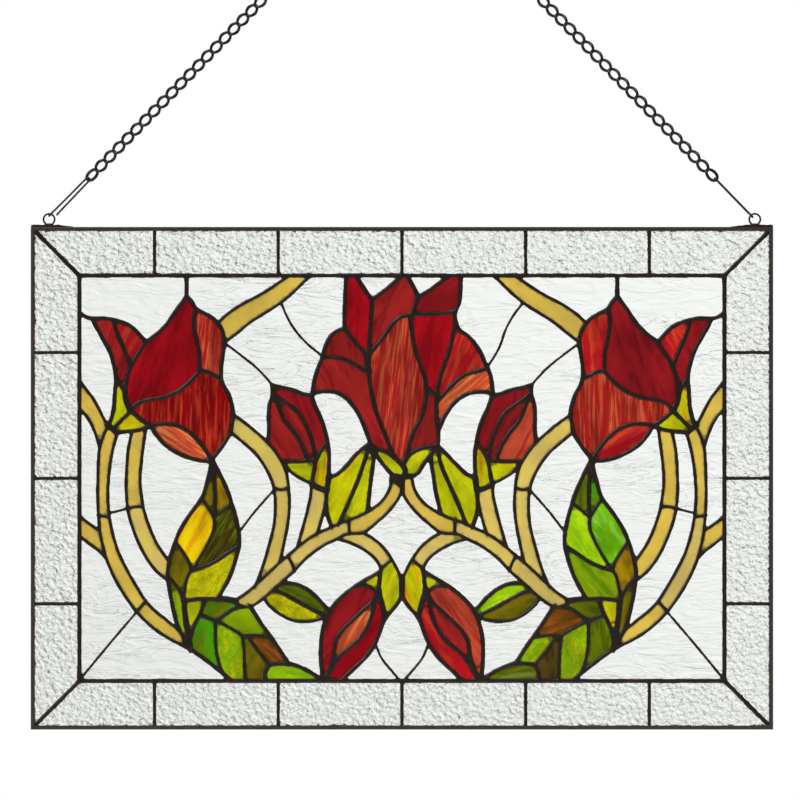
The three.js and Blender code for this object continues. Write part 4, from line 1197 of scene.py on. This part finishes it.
@dataclass(frozen=True)
class Glazing:
    """Cuts the glass: each tile is a plate with its own outline, and its faces keep the sheet's relief."""

    edge: float = 0.45
    clear_step: float = 2.6
    coloured_step: float = 4.0
    border_step: float = 1.7
    border_edge: float = 1.4
    coloured_relief: tuple[float, float] = (0.12, 9.0)
    clear_relief: tuple[float, float] = (0.28, 7.0)
    hammered_relief: tuple[float, float] = (0.5, 2.6)

    def plate(self, tile: Tile, step: float, number: int) -> bpy.types.Object:
        """Cut one tile as a flat sheet of small triangles, with its colours on it.

        Args:
            tile: The tile to cut.
            step: Size of the triangles, in millimetres.
            number: A number of its own, which shifts its streaks.

        Returns:
            The sheet, in metres, still without thickness.
        """
        outline = inset(tile.outline, self.edge)
        low, high = np.min(outline, axis=0), np.max(outline, axis=0)
        rows = np.arange(low[1] + step / 3, high[1], step * 0.866)
        grid = np.array([(x + (row % 2) * step / 2, y) for row, y in enumerate(rows)
                         for x in np.arange(low[0] + step / 3, high[0], step)]).reshape(-1, 2)
        if len(grid):
            grid = grid[inside(inset(tile.outline, self.edge + step * 0.45), grid)]
        points = [Vector(p) for p in outline] + [Vector(p) for p in grid]
        whole = [list(range(len(outline)))]
        verts, _, faces, sources, _, _ = geometry.delaunay_2d_cdt(points, [], whole, 1, 1e-4)
        mesh = bpy.data.meshes.new("tile")
        mesh.from_pydata([(v.x * MM, 0.0, v.y * MM) for v in verts], [], faces)
        if tile.cut:
            self.colour(mesh, tile.cut, number)
            # Marks the outline's points, where the shader paints the shade at each tile's edge.
            rim = [float(not source or min(source) < len(outline)) for source in sources]
            mesh.attributes.new("rim", "FLOAT", "POINT").data.foreach_set("value", rim)
        return put("tile", mesh)

    def colour(self, mesh: bpy.types.Mesh, cut: Cut, number: int) -> None:
        """Store a tile's two colours and its grain on its points.

        Args:
            mesh: The tile's mesh.
            cut: Its sheet and the way of its streaks.
            number: A number of its own, which shifts its streaks.
        """
        body, streak, strength, long_grain, fine_grain, crackle = cut.sheet.value
        count = len(mesh.vertices)
        across, _, up = read_points(mesh).T / MM
        turn = math.radians(cut.angle)
        along = across * math.cos(turn) + up * math.sin(turn)
        aside = up * math.cos(turn) - across * math.sin(turn)
        grain = np.column_stack([along / long_grain, aside / fine_grain, np.full(count, number * 3.7)])
        mesh.attributes.new("grain", "FLOAT_VECTOR", "POINT").data.foreach_set("vector", grain.ravel())
        for name, (red, green, blue, _), alpha in (("body", body, crackle), ("streak", streak, strength)):
            values = np.tile((red, green, blue, alpha), count)
            mesh.attributes.new(name, "FLOAT_COLOR", "POINT").data.foreach_set("color", values)

    def thicken(self, piece: bpy.types.Object, relief: float, size: float) -> None:
        """Give the sheets their thickness and the relief of their faces.

        Args:
            piece: The joined sheets.
            relief: Height of the relief, in millimetres.
            size: Size of its forms, in millimetres.
        """
        modify(piece, "SOLIDIFY", thickness=PANEL.glass * MM, offset=0.0)
        modify(piece, "DISPLACE", texture=clouds("relief", size), strength=relief * MM, mid_level=0.5,
               texture_coords="LOCAL")
        smooth(piece, 45)

    def picture(self) -> None:
        """Cut and dress all the tiles of the picture."""
        groups: dict[str, list[bpy.types.Object]] = {}
        loose = 0
        for number, tile in enumerate(Cartoon().tiles()):
            step = self.coloured_step if tile.cut else self.clear_step
            node = tile.node
            if not node:
                loose += 1
                node = f"gap_tile_{loose}"
            groups.setdefault(node, []).append(self.plate(tile, step, number))
        cathedral, opal, clear = CATHEDRAL.make(), OPAL.make(), RIPPLED.make()
        for node, pieces in groups.items():
            piece = join(pieces, f"glass_{node}")
            coloured = "body" in piece.data.attributes
            self.thicken(piece, *(self.coloured_relief if coloured else self.clear_relief))
            slot = "clear_glass"
            if coloured:
                slot = next(slot for word, slot in GLASS_SLOTS.items() if word in node)
            material = {"clear_glass": clear, "cream_glass": opal}.get(slot, cathedral)
            dress(piece, material, slot, *((node,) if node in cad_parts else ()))

    def border(self) -> None:
        """Cut and dress the hammered tiles round the picture."""
        half, foot, top = PANEL.half_picture, PANEL.picture_foot, PANEL.picture_top
        side, low, high = PANEL.lapped(PANEL.face - self.border_edge)
        outlines: list[Line] = []
        inner, outer = [-half, *PANEL.columns, half], [-side, *PANEL.columns, side]
        for a, b, c, d in zip(inner, inner[1:], outer, outer[1:]):
            outlines += [[(c, low), (d, low), (b, foot), (a, foot)],
                         [(a, top), (b, top), (d, high), (c, high)]]
        inner, outer = [foot, *PANEL.rows, top], [low, *PANEL.rows, high]
        for a, b, c, d in zip(inner, inner[1:], outer, outer[1:]):
            outlines += [[(-side, c), (-half, a), (-half, b), (-side, d)],
                         [(half, a), (side, c), (side, d), (half, b)]]
        pieces = [self.plate(Tile(self.fine(outline), "border_glass"), self.border_step, number)
                  for number, outline in enumerate(outlines)]
        piece = join(pieces, "glass_border")
        self.thicken(piece, *self.hammered_relief)
        dress(piece, HAMMERED.make(), "border_glass", "border_glass")

    def fine(self, outline: Line) -> Line:
        """Split an outline's sides into short steps.

        Args:
            outline: The closed outline.

        Returns:
            The same outline with more points.
        """
        points: Line = []
        for start, end in zip(outline, outline[1:] + outline[:1]):
            a, b = Vector(start), Vector(end)
            count = max(1, round((b - a).length / self.border_step))
            points += [tuple(a.lerp(b, step / count)) for step in range(count)]
        return points


@dataclass(frozen=True)
class Solder:
    """The run solder: beads along all seams on both faces, and the foil between the tiles."""

    voxel: float = 0.62
    rise: float = 1.0
    sink: float = 0.12
    flatness: float = 0.56
    lumps: float = 0.16
    lump_size: float = 5.0
    target_faces: int = 185000
    swell: float = 1.14
    waver: float = 0.05
    pool: float = 0.18
    pool_reach: float = 1.6
    foil: float = 0.35
    tuck: float = 0.7

    def seams(self) -> list[tuple[Line, float]]:
        """List every seam, the border's too.

        Returns:
            Each seam's line and width.
        """
        lines = [(line, item.width) for line, item in zip(Cartoon().lines(), SEAMS)]
        half, foot, top = PANEL.half_picture, PANEL.picture_foot, PANEL.picture_top
        side, low, high = PANEL.lapped(PANEL.face - self.tuck)
        corners = PANEL.corners
        straights = [(start, end, PANEL.inner_seam) for start, end in zip(corners, corners[1:] + corners[:1])]
        divider = PANEL.divider_seam
        for x in PANEL.columns:
            straights += [((x, foot), (x, low), divider), ((x, top), (x, high), divider)]
        for z in PANEL.rows:
            straights += [((-half, z), (-side, z), divider), ((half, z), (side, z), divider)]
        for sign in (-1, 1):
            straights += [((sign * half, inner), (sign * side, outer), PANEL.mitre_seam)
                          for inner, outer in ((foot, low), (top, high))]
        return lines + [(self.straight(start, end), width) for start, end, width in straights]

    def straight(self, start: Point, end: Point) -> Line:
        """Draw a straight line in steps of about 2 mm.

        Args:
            start: Where it starts.
            end: Where it ends.

        Returns:
            The points of the line.
        """
        a, b = Vector(start), Vector(end)
        count = max(2, round((b - a).length / 2))
        return [tuple(a.lerp(b, step / count)) for step in range(count + 1)]

    def beads(self, sign: int) -> bpy.types.Object:
        """Run the beads of one face.

        Args:
            sign: -1 for the front, 1 for the back.

        Returns:
            The beads, fused where they meet.
        """
        curve = round_curve("beads", 1.0, 3)
        for number, (line, width) in enumerate(self.seams()):
            spline = curve.splines.new("POLY")
            spline.points.add(len(line) - 1)
            last = len(line) - 1
            for index, (x, z) in enumerate(line):
                wave = math.sin(index * 0.9 + number * 1.7 + sign) + math.sin(index * 0.37 + number * 2.9)
                ends = self.pool * math.exp(-min(index, last - index) / self.pool_reach)
                spline.points[index].co = (x * MM, 0.0, z * MM, 1.0)
                spline.points[index].radius = width / 2 * self.swell * (1.0 + self.waver * wave + ends)
        piece = settle(to_mesh(put("beads", curve)), scale=(1.0, self.flatness, 1.0))
        modify(piece, "REMESH", mode="VOXEL", voxel_size=self.voxel * MM)
        modify(piece, "SMOOTH", factor=0.5, iterations=4)
        modify(piece, "DISPLACE", texture=clouds("lumps", self.lump_size), strength=self.lumps * MM,
               mid_level=0.5, texture_coords="LOCAL")
        at = read_points(piece.data)
        rise = np.clip(at[:, 1] * sign, -self.sink * MM, self.rise * MM)
        at[:, 1] = sign * PANEL.glass / 2 * MM + rise * sign
        piece.data.vertices.foreach_set("co", at.ravel())
        piece.data.update()
        triangles = sum(len(polygon.vertices) - 2 for polygon in piece.data.polygons)
        if triangles > self.target_faces:
            modify(piece, "DECIMATE", ratio=self.target_faces / triangles)
        smooth(piece, 60)
        return piece

    def foils(self) -> bpy.types.Object:
        """Stand the foil strips between the tiles.

        Returns:
            The strips as one piece.
        """
        verts: list[tuple[float, float, float]] = []
        faces: list[tuple[int, ...]] = []
        depth = PANEL.glass / 2 * MM
        for line, _ in self.seams():
            normals = []
            for index in range(len(line)):
                a, b = Vector(line[max(index - 1, 0)]), Vector(line[min(index + 1, len(line) - 1)])
                along = (b - a).normalized()
                normals.append(Vector((-along.y, along.x)) * self.foil / 2)
            start = len(verts)
            for (x, z), normal in zip(line, normals):
                for side, y in ((1, -depth), (1, depth), (-1, depth), (-1, -depth)):
                    verts.append(((x + normal.x * side) * MM, y, (z + normal.y * side) * MM))
            for index in range(len(line) - 1):
                base = start + index * 4
                for corner in range(4):
                    nxt = (corner + 1) % 4
                    faces.append((base + corner, base + nxt, base + 4 + nxt, base + 4 + corner))
            faces.append((start + 3, start + 2, start + 1, start))
            faces.append(tuple(len(verts) - 4 + corner for corner in range(4)))
        mesh = bpy.data.meshes.new("foil")
        mesh.from_pydata(verts, [], faces)
        piece = put("foil", mesh)
        edit(piece, face_outwards)
        return piece

    def run(self) -> None:
        """Make and dress the solder of both faces and the foil."""
        metal = PATINA.make()
        for name, make in (("solder_front", lambda: self.beads(-1)), ("solder_back", lambda: self.beads(1)),
                           ("foil_strips", self.foils)):
            piece = make()
            piece.name = name
            dress(piece, metal, "dark_solder", "solder_lattice")


@dataclass(frozen=True)
class Came:
    """The frame: a folded came with a face, a back and an outer wall round the groove."""

    rounding: float = 0.5
    slimmer: float = 0.4
    sunk: float = 0.05

    def ring(self, face: float, front: float, back: float) -> bpy.types.Object:
        """Make one layer of the frame.

        Args:
            face: Its width as seen from the front, in millimetres.
            front: Where it starts in depth.
            back: Where it ends.

        Returns:
            The layer.
        """
        def hollow() -> None:
            """Leave only the rim of the plate."""
            bpy.ops.mesh.inset(thickness=face * MM)
            bpy.ops.mesh.delete(type="FACE")

        def deepen() -> None:
            """Draw the rim out in depth."""
            bpy.ops.mesh.extrude_region_move(TRANSFORM_OT_translate={"value": (0, (back - front) * MM, 0)})

        deselect()
        bpy.ops.mesh.primitive_plane_add(size=1, location=(0, front * MM, (PANEL.top + PANEL.foot) / 2 * MM),
                                         rotation=(math.pi / 2, 0, 0))
        piece = settle(bpy.context.object, scale=(PANEL.width * MM, PANEL.height * MM, 1))
        edit(piece, hollow, deepen, face_outwards)
        return piece

    def build(self) -> None:
        """Make and dress the frame."""
        half, groove = PANEL.depth / 2, PANEL.glass / 2 + PANEL.fit
        face = PANEL.face - self.slimmer
        front = self.ring(face, -half, -groove)
        back = self.ring(face, groove, half)
        for layer in (front, back):
            modify(layer, "BEVEL", width=self.rounding * MM, segments=3, limit_method="ANGLE")
        wall = self.ring(PANEL.wall, -groove - self.sunk, groove + self.sunk)
        piece = join([front, back, wall], "frame_came")
        smooth(piece, 35)
        dress(piece, CAME.make(), "dark_came", "frame")


@dataclass(frozen=True)
class HangingGear:
    """Corner rings in their solder, wire hooks, the chain's legs and the top ring."""

    ring_outer: float = 10.6
    ring_wire: float = 1.3
    ring_inset: float = 14.9
    ring_sink: float = 1.2
    strip_length: float = 35.0
    strip_rise: float = 1.9
    strip_depth: float = 5.0
    top_outer: float = 15.0
    top_wire: float = 1.8
    link_wire: float = 1.8
    link_width: float = 9.6
    link_length: float = 13.4
    link_bite: float = 0.65
    link_twist: float = math.radians(40)
    hook_wire: float = 1.4
    hook_spread: float = 3.9
    hook_least: float = 30.0
    stout: float = 0.35
    link_stouter: float = 0.5
    link_wider: float = 0.3
    first_angle: float = 0.5
    blob: tuple[float, float, float] = (3.2, 1.9, 1.5)
    blob_rise: float = 1.6
    blob_voxel: float = 0.24

    @property
    def ring_height(self) -> float:
        """Height of a corner ring's centre."""
        return PANEL.top + PANEL.fit + self.strip_rise - self.ring_sink + self.ring_outer / 2

    @property
    def top_centre(self) -> float:
        """Height of the top ring's centre."""
        return self.top_wire - self.top_outer / 2

    @property
    def pitch(self) -> float:
        """Distance from link to link."""
        return self.link_length - 2 * self.link_wire + self.link_bite

    def leg(self, side: int) -> tuple[Matrix, float]:
        """Where one leg of the chain runs.

        Args:
            side: -1 for the left leg, 1 for the right one.

        Returns:
            The turn and place that set X along the leg, in metres, and its length in millimetres.
        """
        low = Vector((side * (PANEL.width / 2 - self.ring_inset), 0, self.ring_height))
        high = Vector((0, 0, self.top_centre))
        along = (high - low).normalized()
        start = low + along * (self.ring_outer - self.ring_wire) / 2
        end = high - along * (self.top_outer - self.top_wire) / 2
        axes = Matrix((along, Vector((-along.z, 0, along.x)), Vector((0, -1, 0)))).transposed().to_4x4()
        return Matrix.Translation(start * MM) @ axes, (end - start).length

    def torus(self, outer: float, wire: float, steps: int, around: int) -> bpy.types.Object:
        """Add a ring of wire at the origin, lying flat.

        Args:
            outer: Its outer diameter, in millimetres.
            wire: The wire's diameter, in millimetres.
            steps: Number of steps round the ring.
            around: Number of steps round the wire.

        Returns:
            The ring.
        """
        deselect()
        bpy.ops.mesh.primitive_torus_add(major_radius=(outer - wire) / 2 * MM, minor_radius=wire / 2 * MM,
                                         major_segments=steps, minor_segments=around)
        return bpy.context.object

    def link(self, low_angle: float, high_angle: float) -> bpy.types.Object:
        """Bend one curb link, its wire's plane turned from one angle to another along it.

        Args:
            low_angle: Angle at its lower end.
            high_angle: Angle at its upper end.

        Returns:
            The link at the origin, along X.
        """
        wire = self.link_wire + self.stout + self.link_stouter
        piece = self.torus(self.link_width + self.link_wider, wire, 28, 10)
        half_width = (self.link_width - self.link_wire) / 2 * MM
        half_length = (self.link_length - self.link_wire) / 2 * MM
        at = read_points(piece.data)
        turn = np.arctan2(at[:, 1], at[:, 0])
        at[:, 0] += (half_length - half_width) * np.cos(turn)
        share = np.clip(0.5 + at[:, 0] / (2 * half_length), 0, 1)
        angle = low_angle + (high_angle - low_angle) * share
        y, z = at[:, 1].copy(), at[:, 2].copy()
        at[:, 1] = y * np.cos(angle) - z * np.sin(angle)
        at[:, 2] = y * np.sin(angle) + z * np.cos(angle)
        piece.data.vertices.foreach_set("co", at.ravel())
        return piece

    def wire(self, points: list[Vector], radius: float, name: str) -> bpy.types.Object:
        """Bend a round wire through points.

        Args:
            points: The wire's middle line, in metres.
            radius: The wire's radius, in millimetres.
            name: Name of the piece.

        Returns:
            The wire as a mesh.
        """
        curve = round_curve(name, radius, 4)
        curve.resolution_u = 8
        spline = curve.splines.new("NURBS")
        spline.points.add(len(points) - 1)
        for place, point in zip(spline.points, points):
            place.co = (*point, 1.0)
        spline.use_endpoint_u = True
        spline.order_u = 3
        return to_mesh(put(name, curve))

    def hook(self, side: int, place: Matrix, bar: float) -> bpy.types.Object:
        """Bend the hairpin hook between a corner ring and the last link.

        Args:
            side: -1 for the left one, which lies in the panel's plane, 1 for the right one, turned edge on.
            place: Where the leg runs.
            bar: Distance along the leg to the end of the last link.

        Returns:
            The hook.
        """
        spread = self.hook_spread / 2
        ring = (self.ring_outer - self.ring_wire) / 2
        flat = side < 0
        sag = ring - math.sqrt(ring ** 2 - spread ** 2) if flat else 0.0

        def lie(along: float, aside: float) -> tuple[float, float, float]:
            """Lay a point of the hairpin in its own plane."""
            return (along, aside, 0) if flat else (along, 0, aside)

        path = []
        for angle in map(math.radians, (235, 200, 165, 130, 95)):
            along, up = 1.1 * spread * math.cos(angle) - sag, 1.1 * spread * math.sin(angle)
            path.append((along, spread if flat else 0, up))
        path.append((spread * 1.6, spread, spread * 0.4) if flat else (spread * 2, 0, spread))
        path += [lie(bar * 0.5, spread * 0.85), lie(bar * 0.85, spread * 0.8)]
        for angle in map(math.radians, range(90, -91, -30)):
            path.append(lie(bar + 1.02 * spread * math.cos(angle), 0.8 * spread * math.sin(angle)))
        path += [lie(bar * 0.85, -spread * 0.8), lie(bar * 0.5, -spread * 0.85), lie(spread, -spread)]
        points = [place @ (Vector(point) * MM) for point in path]
        return self.wire(points, (self.hook_wire + self.stout) / 2, "hook_left" if flat else "hook_right")

    def legs(self) -> None:
        """Make and dress both chains and both hooks."""
        metal = WIRE.make()
        for side, name in ((-1, "left"), (1, "right")):
            place, length = self.leg(side)
            count = int((length - self.hook_least - self.link_length / 2) / self.pitch)
            top = length - (self.link_length / 2 - self.link_wire - self.top_wire / 2 - PANEL.fit)
            links = []
            for index in range(count):
                low = (self.first_angle if side < 0 else 0.0) if index == count - 1 else -self.link_twist
                link = self.link(low, math.pi / 2 if index == 0 else self.link_twist)
                along = Matrix.Translation(Vector(((top - index * self.pitch) * MM, 0, 0)))
                links.append(settle(link, matrix_world=place @ along))
            chain = join(links, f"chain_links_{name}")
            smooth(chain, 60)
            dress(chain, metal, "chain_metal", f"chain_{name}")
            bar = top - (count - 1) * self.pitch - (self.link_length - self.link_wire) / 2
            hook = self.hook(side, place, bar)
            smooth(hook, 50)
            dress(hook, metal, "chain_metal", f"chain_hook_{name}")
        ring = settle(self.torus(self.top_outer + self.stout / 2, self.top_wire + self.stout, 64, 14),
                      rotation_euler=(math.pi / 2, 0, 0), location=(0, 0, self.top_centre * MM))
        ring.name = "ring_top"
        smooth(ring, 60)
        dress(ring, metal, "chain_metal", "top_ring")

    def strip(self, side: int) -> bpy.types.Object:
        """Lay one corner's reinforcing strip on the frame, uneven and tapered as run solder is.

        Args:
            side: -1 for the left corner, 1 for the right one.

        Returns:
            The strip.
        """
        corner, seat, rise = side * PANEL.width / 2, PANEL.top, self.strip_rise + PANEL.fit
        deselect()
        bpy.ops.mesh.primitive_cube_add(size=1)
        strip = settle(bpy.context.object, scale=(self.strip_length * MM, self.strip_depth * MM, rise * MM),
                       location=((corner - side * self.strip_length / 2) * MM, 0, (seat + rise / 2) * MM))
        edit(strip, lambda: bpy.ops.mesh.subdivide(number_cuts=20))
        for vertex in strip.data.vertices:  # lower at both ends, rounded over in depth, and a little lumpy
            away = abs(corner * MM - vertex.co.x) / (self.strip_length * MM)
            taper = min(1.0, 0.15 + (1 - away) * 2.3, 0.72 + away * 6)
            lump = 0.06 * math.sin(away * 23 + side) + 0.05 * math.sin(away * 41)
            round_off = 1 - 0.35 * (abs(vertex.co.y) / (self.strip_depth / 2 * MM)) ** 3
            lift = (vertex.co.z - seat * MM) * taper * round_off * (1 + lump - 0.11)
            vertex.co.z = seat * MM + lift
            vertex.co.y *= 0.96 - 0.25 * max(0.0, away - 0.6)
        return strip

    def corner_rings(self) -> None:
        """Make and dress the corner rings in the solder of their strips."""
        metal = PATINA.make()
        for side, name in ((-1, "left"), (1, "right")):
            x = side * (PANEL.width / 2 - self.ring_inset) * MM
            ring = settle(self.torus(self.ring_outer + self.stout / 2, self.ring_wire + self.stout, 56, 12),
                          rotation_euler=(math.pi / 2, 0, 0), location=(x, 0, self.ring_height * MM))
            strip = self.strip(side)
            deselect()
            bpy.ops.mesh.primitive_uv_sphere_add(segments=24, ring_count=16, radius=1)
            blob = settle(bpy.context.object, scale=[size * MM for size in self.blob],
                          location=(x, 0, (PANEL.top + self.blob_rise) * MM))
            piece = join([strip, blob, ring], f"ring_corner_{name}")
            modify(piece, "REMESH", mode="VOXEL", voxel_size=self.blob_voxel * MM)
            modify(piece, "SMOOTH", factor=0.5, iterations=5)
            smooth(piece, 60)
            dress(piece, metal, "dark_solder", f"hanging_ring_{name}")


@dataclass(frozen=True)
class Stage:
    """The room: a pale floor well below, soft light all round, and the camera straight before the panel."""

    camera_distance: float = 5.0
    image_width: float = 657.7
    image_centre: Point = (-1.6, -453.2)
    sensor: float = 36.0
    floor_level: float = -1.15
    floor_radius: float = 1.3
    dimmest: float = 0.5
    brightest_from: float = 0.9985
    falloff: tuple[tuple[float, float], ...] = ((0.7, 0.56), (0.9, 0.66), (0.966, 0.8), (0.989, 0.92))
    lean: tuple[float, float] = (0.8, 1.0)
    lamp: tuple[float, float, float] = (-0.55, -0.45, 0.7)
    lamp_edge: tuple[float, float] = (0.86, 0.97)
    lamp_level: float = 9.0
    glossy: float = 0.05

    def world(self) -> None:
        """Light the scene from all round, brightest straight behind and before the panel."""
        world = bpy.data.worlds.new("soft_room")
        bpy.context.scene.world = world
        nodes = Nodes(world)
        nodes.tree.nodes.clear()

        def total(operation: str, first: object, second: object) -> bpy.types.NodeSocket:
            """Work out a sum of two values."""
            return nodes.add("Math", {0: first, 1: second}, operation=operation).outputs[0]

        direction = nodes.add("TexCoord").outputs["Generated"]
        split = nodes.add("SeparateXYZ", {0: direction}).outputs
        ramp = nodes.add("ValToRGB", {0: total("ABSOLUTE", split["Y"], 0.0)})
        stops = ramp.color_ramp.elements
        stops[0].position, stops[0].color = 0.0, (self.dimmest, self.dimmest, self.dimmest, 1)
        stops[1].position, stops[1].color = self.brightest_from, (1.0, 1.0, 1.0, 1)
        for position, level in self.falloff:
            stops.new(position).color = (level, level, level * 1.01, 1)
        lean = [total("MULTIPLY", split[axis], share) for axis, share in zip("XZ", self.lean)]
        lean = total("ADD", total("ADD", *lean), 1.0)
        aim = nodes.add("VectorMath", {0: direction, 1: Vector(self.lamp).normalized()},
                        operation="DOT_PRODUCT")
        glow = nodes.ramp(aim.outputs["Value"], *self.lamp_edge, self.glossy, self.lamp_level)
        path = nodes.add("LightPath").outputs
        glint = total("MULTIPLY", path["Is Reflection Ray"], path["Is Glossy Ray"])
        shown = nodes.add("Mix", {0: glint, 2: lean, 3: glow}, data_type="FLOAT").outputs[0]
        seen = nodes.mix(path["Is Camera Ray"], ramp.outputs[0], (1, 1, 1, 1))
        strength = nodes.add("Mix", {0: path["Is Camera Ray"], 2: shown, 3: 1.0},
                             data_type="FLOAT").outputs[0]
        background = nodes.add("Background", {0: seen, 1: strength})
        nodes.add("OutputWorld", {0: background.outputs[0]})

    def floor(self) -> None:
        """Lay the pale floor."""
        deselect()
        bpy.ops.mesh.primitive_circle_add(vertices=96, radius=self.floor_radius, fill_type="NGON",
                                          location=(0, 0, self.floor_level))
        floor = bpy.context.object
        floor.name = "pale_floor"
        nodes = Nodes(bpy.data.materials.new("pale_floor"))
        nodes.set(Base_Color=(0.85, 0.85, 0.85, 1.0), Roughness=0.8)
        floor.data.materials.append(nodes.owner)

    def camera(self) -> None:
        """Set the camera straight before the panel."""
        data = bpy.data.cameras.new("camera")
        camera = put("camera", data)
        data.sensor_width = self.sensor
        data.lens = self.sensor * self.camera_distance * 1000 / self.image_width
        data.clip_end = 50
        camera.location = (self.image_centre[0] * MM, -self.camera_distance, self.image_centre[1] * MM)
        camera.rotation_euler = (math.pi / 2, 0, 0)
        scene = bpy.context.scene
        scene.camera = camera
        scene.view_settings.view_transform = "Standard"
        scene.cycles.max_bounces = 12
        scene.cycles.transmission_bounces = 10

    def build(self) -> None:
        """Set up the room."""
        self.world()
        self.floor()
        self.camera()


def main() -> None:
    """Build the window, piece by piece."""
    logging.basicConfig(level=logging.INFO, format="%(name)s: %(message)s")
    Stage().build()
    Glazing().picture()
    Glazing().border()
    Solder().run()
    Came().build()
    gear = HangingGear()
    gear.corner_rings()
    gear.legs()


if __name__ == "__main__":
    main()
